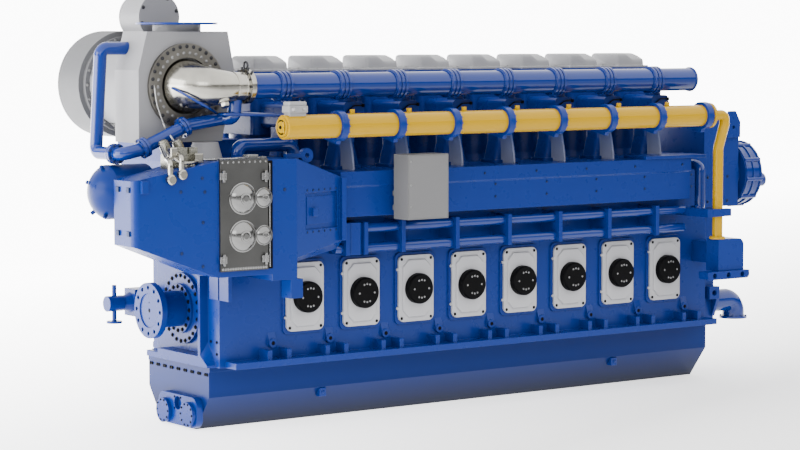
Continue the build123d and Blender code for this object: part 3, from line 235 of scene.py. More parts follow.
# %% Assign the finishes
painted_with = [
    (door_white, ("crankcase_doors", "far_crankcase_doors")),
    (cover_white, ("head_covers",)),
    (black, ("relief_valves",)),
    (yellow, ("gas_pipe", "gas_feeds", "gas_taps", "gas_drop_pipe")),
    (box_grey, ("control_box",)),
    (grey, ("gas_casing", "compressor", "bend_support")),
    (silencer_grey_painted_shade, ("silencer",)),
    (cooler_sheet, ("cooler_plate",)),
    (cap_metal, ("cooler_domes",)),
    (ring_iron, ("turbine_ring",)),
    (shield, ("turbine_bend",)),
    (brass, ("valve_group",)),
    (sump_blue_painted_shade, ("oil_sump", "air_vessel")),
    (pipe_blue, ("exhaust_pipe", "exhaust_bellows", "bypass_pipe", "water_pipe_low", "water_pipe_high",
                 "air_run_pipe", "pump_riser", "lube_elbow", "water_pumps")),
]
special = {name: finish for finish, names in painted_with for name in names}
for name, node in nodes.items():
    node.data.materials.clear()
    node.data.materials.append(special.get(name, blue))
print("painted:", len(nodes), "of them blue:", len(nodes) - len(special))

# %% [markdown]
# ## Bolts
# A bolt on a machine this size is a hexagon with a chamfered top on a round washer. A lathe helper spins a
# short profile round an axis, with six sides for the hexagon and sixteen for the washer. Whole sets of
# bolts are drawn into one mesh, because hundreds of separate objects would only slow the file down.

# %% A lathe
def facing(point, normal):
    turn = Vector(normal).to_track_quat("Z", "Y").to_matrix().to_4x4()
    return Matrix.Translation(point) @ turn


def around(radius, count, start=0.0):
    turns = [start + 2 * math.pi * k / count for k in range(count)]
    return [(radius * math.cos(turn), radius * math.sin(turn)) for turn in turns]


def skin(mesh, rings):
    for lower, upper in zip(rings, rings[1:]):
        for k in range(len(lower)):
            after = (k + 1) % len(lower)
            mesh.faces.new((lower[k], lower[after], upper[after], upper[k]))
    mesh.faces.new(rings[-1])
    mesh.faces.new(rings[0][::-1])


def spin(mesh, place, profile, sides):
    skin(mesh, [[mesh.verts.new(place @ Vector((x, y, height))) for x, y in around(radius, sides)]
                for radius, height in profile])


def keep_piece(name, mesh, finish, smooth=False):
    data = bpy.data.meshes.new(name)
    mesh.to_mesh(data)
    mesh.free()
    data.materials.append(finish)
    if smooth:
        for face in data.polygons:
            face.use_smooth = True
    made = bpy.data.objects.new(name, data)
    bpy.context.scene.collection.objects.link(made)
    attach(made, "root")
    print(name, len(data.polygons), "faces")
    return made


# %% Sets of bolts
washer_shares = [(1.6, 0.0), (1.6, 0.2), (1.45, 0.3)]
hexagon_shares = [(1.0, 0.3), (1.0, 0.9), (0.85, 1.05)]


def bolts(name, spots, finish, radius):
    mesh = bmesh.new()
    for point, normal in spots:
        for shares, sides in ((washer_shares, 16), (hexagon_shares, 6)):
            profile = [(radius * across, radius * high) for across, high in shares]
            spin(mesh, facing(point, normal), profile, sides)
    print(name, len(spots), "bolts")
    keep_piece(name, mesh, finish)


def ring(centre, normal, radius, count, start=0.0):
    place = facing(centre, normal)
    return [(place @ Vector((x, y, 0)), normal) for x, y in around(radius, count, start)]


def row(first, last, count, normal):
    first, last = Vector(first), Vector(last)
    return [(first.lerp(last, k / (count - 1)), normal) for k in range(count)]


near, far, up, left, right = (0, -1, 0), (0, 1, 0), (0, 0, 1), (-1, 0, 0), (1, 0, 0)
cylinder_pitch = 0.82
cylinders = [(k - 3.5) * cylinder_pitch for k in range(8)]
between = [(k - 4) * cylinder_pitch for k in range(9)]
print("cylinders at", [round(x, 2) for x in cylinders])

# %% [markdown]
# ## Crankcase doors and relief valves
# Each door is held by a bolt near each corner and has two small hinge pegs on one edge. On each black valve
# eight bright bolts hold the cap. The places could be typed in, but they come from the boxes of the solids,
# so the bolts sit on them.

# %% Door and valve bolts
valve_low, valve_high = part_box("relief_valves")
valve_z = (valve_low.z + valve_high.z) / 2
valve_circle, valve_degrees = 0.110, (0, 68, 90, 112, 180, 248, 270, 292)
door_low, door_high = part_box("crankcase_doors")
panel_step, corner_dx, corner_dz = 0.022, 0.222, 0.045
peg_dx, peg_dz, peg_back = 0.263, 0.170, 0.016
peg_profile = [(0.019, 0), (0.019, 0.020), (0.012, 0.026)]
bright, corners, pegs = [], [], bmesh.new()
for x in cylinders:
    for degrees in valve_degrees:
        bright += ring((x, valve_low.y, valve_z), near, valve_circle, 1, math.radians(degrees))
    for way in (near, far):
        panel_y = way[1] * (abs(door_low.y) - panel_step)
        corners += [((x + dx, panel_y, z), way) for dx in (-corner_dx, corner_dx)
                    for z in (door_low.z + corner_dz, door_high.z - corner_dz)]
    for z in (door_low.z + peg_dz, door_high.z - peg_dz):
        spin(pegs, facing((x - peg_dx, door_low.y + panel_step + peg_back, z), left), peg_profile, sides=12)
bolts("valve_bolts", bright, bolt_steel, radius=0.008)
bolts("door_bolts", corners, black, radius=0.012)
keep_piece("door_pegs", pegs, door_white)

# %% [markdown]
# ## Coupling end
# The round cover on the block's end has two rings of bolts, the coupling flange has a small centre hole
# with two threaded holes, and the sump's end has a row of bolt pairs under the block and bolts round its
# two covers. The holes are thin black discs, painted shade in place of a hollow: a cut would need an edit to
# the CAD mesh, and the difference hardly shows.

# %% Bolts of the end cover and the sump's end
end_low, end_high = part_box("crank_end_cover")
flange_low, flange_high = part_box("crank_flange")
crank_z = (flange_low.z + flange_high.z) / 2
outer_step = 0.045
# The end cover's bolts are black, painted shade for bolts that lie in shadow.
spots = ring((end_high.x - outer_step, 0, crank_z), left, radius=0.395, count=24)
spots += ring((end_low.x, 0, crank_z), left, radius=0.265, count=16)
bolts("end_cover_bolts", spots, black, radius=0.017)

sump_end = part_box("oil_sump")[0].x
first_pair, pair_step, pair_half, pair_z = -0.64, 0.16, 0.021, 0.682
spots = []
for k in range(9):
    y = first_pair + k * pair_step
    spots += [((sump_end, y - pair_half, pair_z), left), ((sump_end, y + pair_half, pair_z), left)]
bolts("sump_end_bolts", spots, black, radius=0.014)

# %% Sump cover bolts and the flange's centre
sump_cover_face, end_box_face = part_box("sump_covers")[0].x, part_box("sump_end_box")[0].x
sump_cover_centres, end_box_centre = ((0.160, 0.176), (-0.395, 0.186)), (-0.118, 0.291)
spots = []
for centre in sump_cover_centres:
    spots += ring((sump_cover_face, *centre), left, radius=0.128, count=10)
spots += ring((end_box_face, *end_box_centre), left, radius=0.098, count=4, start=math.pi / 4)
bolts("sump_cover_bolts", spots, black, radius=0.009)

recess_x, thread_away = flange_low.x + 0.014, 0.095
# Black discs of painted shade stand for the centre hole and the two threaded holes.
holes = bmesh.new()
for dz, radius in ((0, 0.026), (thread_away, 0.011), (-thread_away, 0.011)):
    hole_profile = [(radius, 0), (radius * 0.8, 0.002)]
    spin(holes, facing((recess_x, 0, crank_z + dz), left), hole_profile, sides=20)
keep_piece("flange_centre", holes, black)

# %% [markdown]
# ## Head covers
# A head cover is a pressed lid on a flat rim. Its front is upright at one end and leans back at the other,
# with a smooth change between them. A box with a bevel can't lean like that, so sections along the cover
# give the form: each one is an outline from front to back, and the end sections are drawn in to round the
# corners. The lids stand for the plain CAD covers. The rim is a block with softened edges, and the two
# helpers that make such blocks serve many later pieces: one seats a block on any slope, the other takes two
# corners.

# %% Blocks with softened edges
def block(mesh, foot, normal, along, size, bevel=0.004):
    out = Vector(normal).normalized()
    side = (Vector(along) - out * out.dot(Vector(along))).normalized()
    place = Matrix.Translation(foot) @ Matrix((side, out.cross(side), out)).transposed().to_4x4()
    verts = bmesh.ops.create_cube(mesh, size=1.0)["verts"]
    for vert in verts:
        vert.co = place @ Vector((vert.co.x * size[0], vert.co.y * size[1], (vert.co.z + 0.5) * size[2]))
    edges = list({edge for vert in verts for edge in vert.link_edges})
    bmesh.ops.bevel(mesh, geom=edges, offset=bevel, segments=2, affect="EDGES", profile=0.6)


def bar(mesh, low, high, bevel=0.004):
    low, high = Vector(low), Vector(high)
    middle = (low + high) / 2
    block(mesh, (middle.x, middle.y, low.z), up, right, high - low, bevel)


# %% Sections of a cover
cover_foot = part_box("head_covers")[0].z
lid_height, half_depth, half_width = 0.188, 0.290, 0.238
lean_start, lean_length = -0.085, 0.14
upright_share, leaning_drop_share = 0.95, 0.33
upright_back, leaning_back = 0.020, 0.170
front_in, rear_in = 0.032, 0.034


def cover_outline(x, inset):
    share = min(1.0, max(0.0, (x - lean_start) / lean_length))
    lean = share * share * (3 - 2 * share)
    top, depth = lid_height - inset * 0.7, half_depth - inset
    edge, back = top * (upright_share - leaning_drop_share * lean), upright_back + leaning_back * lean
    front = [(0, 0), (0.006, edge * 0.5), (0.010, edge - 0.030), (0.017, edge - 0.012), (front_in, edge),
             (front_in + back * 0.5, edge + (top - edge) * 0.58), (front_in + back, top - 0.003),
             (front_in + back + 0.030, top)]
    rear = [(rear_in + 0.032, top), (rear_in, top - 0.008), (0.014, top - 0.030), (0.006, top * 0.5), (0, 0)]
    return [(y - depth, z) for y, z in front] + [(depth - y, z) for y, z in rear]


end_sections = [(0.0, 0.034), (0.005, 0.018), (0.014, 0.007), (0.032, 0.0)]
section_start, section_step = -0.190, 0.020
sections = [(step - half_width, inset) for step, inset in end_sections]
sections += [(section_start + section_step * k, 0.0) for k in range(20)]
sections += [(half_width - step, inset) for step, inset in reversed(end_sections)]
print("sections of a cover:", len(sections))

# %% Covers with a swept front
rim_size, sharp_from = (0.544, 0.650, 0.028), math.radians(40)
lids = bmesh.new()
for middle in cylinders:
    skin(lids, [[lids.verts.new((middle + x, y, cover_foot + z)) for y, z in cover_outline(x, inset)]
                for x, inset in sections])
    block(lids, (middle, 0, cover_foot), up, right, rim_size, bevel=0.006)
bmesh.ops.recalc_face_normals(lids, faces=lids.faces)
lid_piece = keep_piece("head_cover_lids", lids, cover_white, smooth=True)
lid_piece.data.set_sharp_from_angle(angle=sharp_from)
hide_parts("head_covers")

# %% Cover bolts
rim_z = cover_foot + rim_size[2]
end_dx, front_dy = 0.255, 0.308
spots = []
for x in cylinders:
    spots += [((x + dx, y, rim_z), up) for y in (-0.21, 0.0, 0.21) for dx in (-end_dx, end_dx)]
    spots += [((x + dx, y, rim_z), up) for dx in (-0.17, 0.0, 0.17) for y in (-front_dy, front_dy)]
bolts("head_cover_bolts", spots, bolt_steel, radius=0.010)

# %% [markdown]
# ## Turbocharger bolts
# The dark ring round the turbine inlet carries an outer ring of bolts and an inner ring of bright nuts. The
# bend's flange is bolted too. The rings are worked out from a radius and a count, so they stay even.

# %% Turbocharger bolts
ring_low, ring_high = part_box("turbine_ring")
turbo_x, turbo_z = (ring_low.x + ring_high.x) / 2, (ring_low.z + ring_high.z) / 2
ring_face = (turbo_x, ring_low.y, turbo_z)
bolts("turbine_bolts", ring(ring_face, near, radius=0.460, count=32), black_steel, radius=0.014)
bolts("turbine_nuts", ring(ring_face, near, radius=0.385, count=30), bolt_steel, radius=0.012)
bend_flange = (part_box("turbine_bend")[1].x - 0.060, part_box("exhaust_pipe")[0].y + 0.160, turbo_z)
bolts("bend_flange_bolts", ring(bend_flange, left, radius=0.183, count=12), black_steel, radius=0.011)

# %% [markdown]
# ## Charge air cooler
# The bright cooler end has a stamped boss in the middle of each cap, rows of studs along the bottom and the
# top, toggle clips at the corners and a slot, drawn as a black bar of painted shade, with a rod beside it.
# Four square blocks stand on the mouth of the inlet. The bosses are turned on the lathe helper, because they
# are round, and the rest are blocks.

# %% Cap bosses and studs
plate_low, plate_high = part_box("cooler_plate")
dome_low, dome_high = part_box("cooler_domes")
face = plate_low.y
large_cap, small_cap = 0.172, 0.110
rise_share, boss_share, sunk_share, collar_share = 0.42, 0.40, 0.15, 1.07
bosses = bmesh.new()
for x, radius in ((dome_low.x + large_cap, large_cap), (dome_high.x - small_cap, small_cap)):
    rise, boss, collar = radius * rise_share, radius * boss_share, radius * collar_share
    boss_profile = [(boss, -rise * sunk_share), (boss, 0.004), (boss * 0.86, 0.010), (boss * 0.70, 0.004),
                    (boss * 0.45, 0.007)]
    collar_profile = [(collar, 0), (collar, 0.006), (radius, 0.012)]
    for z in (dome_low.z + large_cap, dome_high.z - large_cap):
        spin(bosses, facing((x, face - rise + 0.002, z), near), boss_profile, sides=40)
        spin(bosses, facing((x, face, z), near), collar_profile, sides=48)
keep_piece("cap_bosses", bosses, cap_metal)
first_stud, last_stud = plate_low.x + 0.03, plate_high.x - 0.03
foot_z, top_z = plate_low.z + 0.028, plate_high.z - 0.03
studs = row((first_stud, face, foot_z), (last_stud, face, foot_z), 18, near)
bolts("cooler_studs", studs, bolt_steel, radius=0.010)
studs = row((first_stud, face, top_z), (last_stud, face, top_z), 9, near)
bolts("cooler_top_studs", studs, bolt_steel, radius=0.008)

# %% Toggle clips, the dark slot and its rod
left_clips, right_clips = plate_low.x + 0.03, plate_high.x - 0.045
clips = bmesh.new()
for x, z in ((left_clips, 3.09), (left_clips, 2.14), (right_clips, 3.075), (right_clips, 2.13)):
    bar(clips, (x - 0.045, face - 0.020, z - 0.040), (x + 0.045, face, z + 0.040))
    bar(clips, (x - 0.015, face - 0.038, z - 0.065), (x + 0.015, face - 0.018, z + 0.065))
keep_piece("cooler_clips", clips, bolt_steel)
edge_x, slot_foot, slot_top = plate_high.x, 2.01, 3.25
# The slot is a black bar of painted shade set back beside the plate.
dark = bmesh.new()
bar(dark, (edge_x + 0.006, face + 0.020, slot_foot), (edge_x + 0.075, face + 0.031, slot_top), bevel=0.002)
keep_piece("cooler_slot", dark, black)
rod_foot, rod_length, rod_radius = 2.03, 1.19, 0.009
rods = bmesh.new()
rod_place = facing((edge_x + 0.030, face + 0.012, rod_foot), up)
spin(rods, rod_place, [(rod_radius, 0), (rod_radius, rod_length)], sides=12)
for z in (2.42, 2.84):
    bar(rods, (edge_x - 0.01, face + 0.002, z - 0.022), (edge_x + 0.06, face + 0.022, z + 0.022))
keep_piece("cooler_rods", rods, bolt_steel)

# %% Blocks on the inlet's mouth
mouth_x, block_half, block_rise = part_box("air_diffuser")[0].x, 0.030, 0.020
blocks = bmesh.new()
for y in (-1.262, -1.495):
    for z in (2.968, 2.480):
        bar(blocks, (mouth_x - block_rise, y - block_half, z - block_half),
            (mouth_x, y + block_half, z + block_half))
keep_piece("mouth_blocks", blocks, blue_in_painted_shade)

# %% [markdown]
# ## Fittings along the near side
# The crankcase and the air receiver carry small fittings: a tapped hole in each lifting boss above the
# foot rail, drawn as a black disc of painted shade, bolts in the receiver's face, a shelf on its end and two
# small plates on the sloping side of the sump. They are too small to be worth solids of their own, and they
# repeat, so a loop over the cylinders sets them.

# %% Boss holes and receiver bolts
boss_y, boss_z, boss_dx = 0.990, 1.040, -0.040
tapped_profile = [(0.024, 0), (0.024, 0.001), (0.019, 0.002)]
# Each tapped hole is a black disc of painted shade.
holes = bmesh.new()
for x in between:
    for way in (near, far):
        spin(holes, facing((x + boss_dx, way[1] * boss_y, boss_z), way), tapped_profile, sides=20)
keep_piece("boss_holes", holes, black)

receiver_low, receiver_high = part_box("air_receiver")
ledge_dx, ledge_z = -0.030, 2.974
panel_dx, panel_back, panel_zs = 0.155, 0.022, (2.832, 2.678)
spots = []
for x in cylinders[2:]:
    spots.append(((x + ledge_dx, receiver_low.y, ledge_z), near))
    spots += [((x + panel_dx, receiver_low.y + panel_back, z), near) for z in panel_zs]
bolts("receiver_bolts", spots, blue_in_painted_shade, radius=0.011)

# %% Shelf, sump plates and strip bolts
shelf_y, shelf_z, shelf_thick = -1.400, receiver_high.z, 0.042
shelf = bmesh.new()
bar(shelf, (2.170, shelf_y, shelf_z), (3.220, -0.950, shelf_z + shelf_thick), bevel=0.006)
for x in (2.30, 2.70, 3.10):
    block(shelf, (x, shelf_y, shelf_z + shelf_thick / 2), near, right, (0.055, 0.030, 0.006), bevel=0.002)
keep_piece("deck_shelf", shelf, blue)

plate_face, plate_half, plug_z = -0.705, 0.050, 0.343
plug_profile = [(0.020, 0), (0.020, 0.008), (0.015, 0.012)]
plates = bmesh.new()
for x in (-2.421, 2.244):
    bar(plates, (x - plate_half, plate_face, 0.290), (x + plate_half, -0.610, 0.395), bevel=0.006)
    spin(plates, facing((x, plate_face, plug_z), near), plug_profile, sides=6)
keep_piece("sump_plates", plates, blue)

strip_x = -4.038
spots = [((strip_x, y, z), left) for y in (-0.755, -0.885) for z in (0.950, 1.090)]
bolts("strip_bolts", spots, black, radius=0.012)

# %% [markdown]
# ## Control box and cooler housings
# The grey box has a sheet door with three screws on its hinge edge. The cooler's inlet and outlet housings
# are bolted, and the inspection plate in the outlet's recess has a square grip. The outlet's side runs back
# at a slant, so a function gives points on it, and the bolts and the plate lean with it.

# %% Box door and housing bolts
box_low, box_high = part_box("control_box")
door_y, door_gap, sheet_thick = box_low.y, (0.012, 0.014), 0.005
sheet = bmesh.new()
bar(sheet, (box_low.x + door_gap[0], door_y - sheet_thick, box_low.z + door_gap[1]),
    (box_high.x - door_gap[0], door_y, box_high.z - door_gap[1]), bevel=0.002)
keep_piece("box_door", sheet, box_grey)
spots = [((box_low.x + 0.042, door_y - sheet_thick, z), near) for z in (3.174, 2.892, 2.631)]
bolts("box_screws", spots, bolt_steel, radius=0.009)

housing_y, inlet_x, inlet_length, inlet_slant = -1.650, -4.479, 1.063, 0.050
inlet_bolts = ((-4.681, 3.076), (-4.649, 2.920), (-4.952, 2.931), (-4.674, 2.577), (-4.946, 2.239),
               (-4.678, 2.079))
spots = [((-3.584, housing_y, 2.908), near)]
for x, z in inlet_bolts:
    spots.append(((x, housing_y - inlet_slant * (x - inlet_x) / inlet_length, z), near))
bolts("housing_bolts", spots, blue_in_painted_shade, radius=0.013)

# %% Inspection plate
outlet_x, outlet_run, outlet_back, plate_inset = -3.413, 0.813, 0.250, 0.030
outlet_way, outlet_out = (outlet_run, outlet_back, 0), (0.294, -0.956, 0)
first_share, step_share = 0.22, 0.125


def outlet_point(share, z, inset=0.0):
    return outlet_x + outlet_run * share, housing_y + outlet_back * share + inset, z


bolt_shares = [first_share + step_share * k for k in range(6)]
spots = [(outlet_point(share, z), outlet_out) for z in (2.392, 2.880) for share in bolt_shares]
bolts("panel_bolts", spots, blue_in_painted_shade, radius=0.009)
grip_foot, plate_foot = outlet_point(0.370, 2.622, plate_inset), outlet_point(0.525, 2.640, plate_inset)
grip = bmesh.new()
block(grip, grip_foot, outlet_out, outlet_way, (0.085, 0.100, 0.050), bevel=0.008)
block(grip, plate_foot, outlet_out, outlet_way, (0.500, 0.330, 0.008), bevel=0.003)
keep_piece("panel_grip", grip, blue)

# %% [markdown]
# ## Gas pipe fittings
# The yellow pipe has a screwed end cap, a pale junction box on a saddle and a blue clamp at each cylinder
# with bolts round its edge. Where the small pipe leaves it, and where that pipe ends, there are bolted
# flanges. All of them are set out from the pipe's axis, so they stay centred on it.

# %% Clamp bolts and end cap
gas_y, gas_z = -1.700, 3.626
clamp_dx, stud_circle = 0.045, 0.162
stud_profile = [(0.012, 0), (0.012, 0.008), (0.008, 0.010), (0.008, 0.020), (0.006, 0.023)]
studs = bmesh.new()
for x in cylinders:
    for point, way in ring((x + clamp_dx, gas_y, gas_z), right, stud_circle, count=14):
        spin(studs, facing(point, way), stud_profile, sides=8)
keep_piece("clamp_studs", studs, blue)

cap_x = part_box("gas_pipe")[0].x
cap_place = facing((cap_x, gas_y, gas_z), left)
groove = bmesh.new()
spin(groove, cap_place, [(0.088, 0), (0.088, 0.001), (0.080, 0.002)], sides=40)
keep_piece("gas_cap_groove", groove, black)
lid = bmesh.new()
spin(lid, cap_place, [(0.070, 0), (0.070, 0.006), (0.062, 0.010)], sides=40)
bar(lid, (cap_x - 0.018, gas_y - 0.078, gas_z - 0.066), (cap_x, gas_y - 0.062, gas_z + 0.066))
keep_piece("gas_cap_lid", lid, yellow)
bolts("gas_cap_plug", [((cap_x - 0.010, gas_y, gas_z), left)], black, radius=0.014)

# %% Junction box and gas flanges
junction_x, junction_top, gland_z = -3.470, 3.918, 3.828
saddle_half, body_half, lid_half = (0.115, 0.065), (0.130, 0.080), (0.120, 0.070)
layers = ((saddle_half, 3.745, 3.790, 0.010), (body_half, 3.788, 3.872, 0.014),
          (lid_half, 3.870, junction_top, 0.018))
junction = bmesh.new()
for (half_x, half_y), low_z, high_z, bevel in layers:
    bar(junction, (junction_x - half_x, gas_y - half_y, low_z), (junction_x + half_x, gas_y + half_y, high_z),
        bevel)
gland_profile = [(0.026, 0), (0.026, 0.012), (0.018, 0.030), (0.016, 0.044)]
for dx in (-0.075, 0.075):
    spin(junction, facing((junction_x + dx, gas_y - body_half[1], gland_z), near), gland_profile, sides=12)
keep_piece("gas_junction_box", junction, cover_white)
spots = [((junction_x + dx, gas_y + dy, junction_top), up)
         for dx in (-0.100, 0.100) for dy in (-0.050, 0.050)]
bolts("junction_screws", spots, bolt_steel, radius=0.007)
pipe_end, drop_foot = (2.990, gas_y, gas_z), (3.255, -1.590, 2.018)
spots = ring(pipe_end, right, radius=0.120, count=8, start=math.pi / 8)
spots += ring(drop_foot, up, radius=0.087, count=6)
bolts("gas_flange_bolts", spots, yellow, radius=0.010)

# %% [markdown]
# ## Small pipes
# A stay rod and a thin oil pipe cross in front of the turbine bend, a conduit lies along the cooler's top
# edge and one hangs from the turbine ring. A curve object with a bevel would do, but a mesh goes out in the
# export as it is, so a tube helper carries a circle along a line whose corners were rounded first.

# %% Tubes
def soften(points, reach):
    points = [Vector(point) for point in points]
    smooth = [points[0]]
    for before, corner, after in zip(points, points[1:], points[2:]):
        start = corner + (before - corner).normalized() * reach
        stop = corner + (after - corner).normalized() * reach
        for k in range(7):
            smooth.append(start.lerp(corner, k / 6).lerp(corner.lerp(stop, k / 6), k / 6))
    return smooth + [points[-1]]


def tube(mesh, points, radius, reach=0.05, sides=12):
    line = soften(points, reach)
    side, rings = None, []
    for k, point in enumerate(line):
        way = (line[min(k + 1, len(line) - 1)] - line[max(k - 1, 0)]).normalized()
        side = way.orthogonal() if side is None else side - way * side.dot(way)
        side.normalize()
        other = way.cross(side)
        rings.append([mesh.verts.new(point + side * x + other * y) for x, y in around(radius, sides)])
    skin(mesh, rings)


# %% Stay rod, oil pipe and conduits
stay_rod = [(-4.740, -1.090, 4.083), (-4.674, -1.240, 4.015), (-4.570, -1.315, 3.943),
            (-4.420, -1.330, 3.863), (-4.205, -1.185, 3.785)]
oil_pipe = [(-4.190, -1.190, 3.770), (-4.150, -1.330, 3.775), (-3.330, -1.330, 3.745),
            (-3.330, -0.300, 3.745), (-3.200, -0.300, 3.745)]
thin = bmesh.new()
tube(thin, stay_rod, radius=0.015, reach=0.03)
tube(thin, oil_pipe, radius=0.020)
keep_piece("small_blue_pipes", thin, pipe_blue, smooth=True)

conduit_y, conduit_z = -1.500, 3.274
edge_conduit = [(-4.640, -1.350, 3.300), (-4.560, conduit_y, conduit_z), (-3.720, conduit_y, conduit_z),
                (-3.680, -1.300, conduit_z)]
ring_conduit = [(-4.890, -0.930, 4.130), (-4.900, -0.985, 4.050), (-4.880, -0.985, 3.900),
                (-4.790, -1.000, 3.640), (-4.840, -1.300, 3.480)]
silver = bmesh.new()
tube(silver, edge_conduit, radius=0.013)
tube(silver, ring_conduit, radius=0.010)
keep_piece("silver_conduits", silver, bolt_steel, smooth=True)

clip_foot = conduit_z - 0.016
clips = bmesh.new()
for x in (-4.40, -4.10, -3.80):
    bar(clips, (x - 0.020, conduit_y - 0.030, clip_foot), (x + 0.020, conduit_y + 0.030, conduit_z + 0.018))
bar(clips, (-4.020, conduit_y - 0.060, clip_foot), (-3.880, conduit_y + 0.060, conduit_z + 0.044),
    bevel=0.008)
keep_piece("conduit_clips", clips, bolt_steel)

# %% Bypass flanges
flange_half, flange_circle = 0.036, 0.099
bypass_way = Vector((0.620, 0, 0.260)).normalized()
flanges = (((-5.405, -0.957, 3.344), Vector(near)), ((-5.130, -1.110, 3.411), bypass_way),
           ((-4.610, -1.110, 3.629), bypass_way))
spots = []
for middle, way in flanges:
    for out in (way, -way):
        spots += ring(Vector(middle) + out * flange_half, out, flange_circle, count=8, start=math.pi / 8)
bolts("bypass_bolts", spots, blue_in_painted_shade, radius=0.011)

# %% [markdown]
# ## Leads at the inlet ducts
# A short black conduit bends over each duct to a plug on its edge. It is stiff and fixed at both ends, so a
# tube along a fixed route is enough.

# %% Duct conduits
lead_y, lead_top, plug_half = -1.012, 3.830, 0.020
leads = bmesh.new()
for x in cylinders:
    route = [(x - 0.235, -1.005, 3.700), (x - 0.225, lead_y, 3.760), (x - 0.120, lead_y, lead_top),
             (x + 0.020, -1.010, lead_top)]
    tube(leads, route, radius=0.008, reach=0.035)
    bar(leads, (x, -1.026, lead_top - plug_half), (x + 0.030, -1.000, lead_top + plug_half), bevel=0.005)
keep_piece("duct_conduits", leads, black)

# %% [markdown]
# ## Cheeks of the inlet ducts
# A curved shape that looks pale stands in front of each inlet duct. It is made here as a cheek plate from the
# deck up to the duct's head, blue with a painted reflection that is pale at the foot and fades to blue above.
# A power curve gives the front edge its sweep, and the outline is drawn twice and skinned, which gives the
# plate its thickness.

# %% Duct cheeks
cheek_reflection_heights = (3.10, 3.50)
# The pale foot colour is a painted reflection that fades to blue above.
cheek_blue_painted_reflection = enamel("cheek_blue_painted_reflection", (0.010, 0.035, 0.150), 0.30, foot=(0.21, 0.23, 0.33), fade=cheek_reflection_heights)
deck_z, cheek_height, cheek_back, cheek_front, cheek_lean = 3.060, 0.505, -0.850, -1.120, 0.120
sweep, steps = 1.6, 12
rises = [k / steps for k in range(steps + 1)]
outline = [(cheek_back, 0.0)]
outline += [(cheek_front + cheek_lean * rise ** sweep, rise * cheek_height) for rise in rises]
outline.append((cheek_back, cheek_height))
cheeks = bmesh.new()
for x in cylinders:
    skin(cheeks, [[cheeks.verts.new((x + dx, y, deck_z + z)) for y, z in outline] for dx in (-0.212, -0.184)])
bmesh.ops.recalc_face_normals(cheeks, faces=cheeks.faces)
keep_piece("duct_cheeks", cheeks, cheek_blue_painted_reflection)

# %% [markdown]
# ## Turbocharger fittings
# Strap bands hold the bright heat shield on the bend, with a hexagon plug under it and a lifting eye on its
# flange. The compressor's casing has spring clips round its edge and the drum above it is bolted. Beside
# the cooler stands a group of valves with knobs, bonnets and couplings. Round pieces are turned, square
# ones are blocks and bent ones are tubes, so no new helper is needed.

# %% Shield bands, plug and eye
bend_y = -1.290
band_profile = [(0.163, 0), (0.171, 0.003), (0.171, 0.025), (0.163, 0.028)]
bands = bmesh.new()
for x in (-4.062, -3.952):
    spin(bands, facing((x, bend_y, turbo_z), right), band_profile, sides=48)
plug_out, plug_away = Vector((0, -0.5, -0.866)), 0.196
plug_place = facing(Vector((-4.212, -1.262, turbo_z)) + plug_out * plug_away, plug_out)
spin(bands, plug_place, [(0.075, -0.02), (0.075, 0.012), (0.068, 0.018)], sides=24)
spin(bands, plug_place, [(0.052, 0.015), (0.052, 0.060), (0.044, 0.068)], sides=6)
keep_piece("shield_bands", bands, shield)

eye_x, stud_x, flange_radius, eye_above, eye_radius = -3.876, -3.886, 0.197, 0.243, 0.040
eye_round = around(eye_radius, 16, start=-math.pi / 2)
loop = [(eye_x, bend_y + y, turbo_z + eye_above + z) for y, z in eye_round + eye_round[:1]]
eye = bmesh.new()
tube(eye, loop, radius=0.012, reach=0.002, sides=10)
eye_foot = facing((eye_x, bend_y, turbo_z + flange_radius), up)
spin(eye, eye_foot, [(0.024, 0), (0.024, 0.010), (0.014, 0.016)], sides=12)
for turn in (0.9, 1.25, 1.9, 2.3):
    out = Vector((0, math.cos(turn), math.sin(turn)))
    stud_place = facing(Vector((stud_x, bend_y, turbo_z)) + out * flange_radius, out)
    spin(eye, stud_place, [(0.016, 0), (0.016, 0.030), (0.012, 0.036)], sides=6)
keep_piece("bend_eye", eye, black_steel)

# %% Compressor clips, drum bolts and silencer bolts
clip_y, clip_circle, tongue_rise = 0.330, 0.518, 0.018
clips = bmesh.new()
for x, z in around(1.0, 14, start=0.2):
    out = Vector((x, 0, z))
    foot = Vector((turbo_x, clip_y, turbo_z)) + out * clip_circle
    block(clips, foot, out, far, (0.110, 0.040, 0.020), bevel=0.005)
    block(clips, foot + out * tongue_rise, out, far, (0.050, 0.022, 0.014), bevel=0.003)
keep_piece("compressor_clips", clips, bolt_steel)
drum_face, silencer_face = (turbo_x + 0.156, -0.060, 4.890), (turbo_x, 0.420, turbo_z)
bolts("drum_bolts", ring(drum_face, near, radius=0.243, count=8, start=0.3), black_steel, radius=0.014)
bolts("silencer_bolts", ring(silencer_face, near, radius=0.548, count=20), bolt_steel, radius=0.012)

# %% Vessel pegs
vessel_radius, vessel_centre, peg_sunk = 0.3403, Vector((-5.3467, -0.880, 2.910)), 0.008
long_pegs = [(degrees, 0.270, 0.050) for degrees in (100, -55, -114, 20)]
short_pegs = [(55, 0.134, 0.010), (136, 0.100, 0.006)]
pegs = bmesh.new()
for degrees, away, reach in long_pegs + short_pegs:
    turn = math.radians(degrees)
    forward = math.sqrt(vessel_radius ** 2 - away ** 2)
    out = Vector((-forward, away * math.cos(turn), away * math.sin(turn)))
    foot = vessel_centre + out
    out.normalize()
    peg_profile = [(0.024, 0), (0.024, reach), (0.018, reach + 0.006)]
    spin(pegs, facing(foot - out * peg_sunk, out), peg_profile, sides=12)
keep_piece("vessel_pegs", pegs, sump_blue_painted_shade)

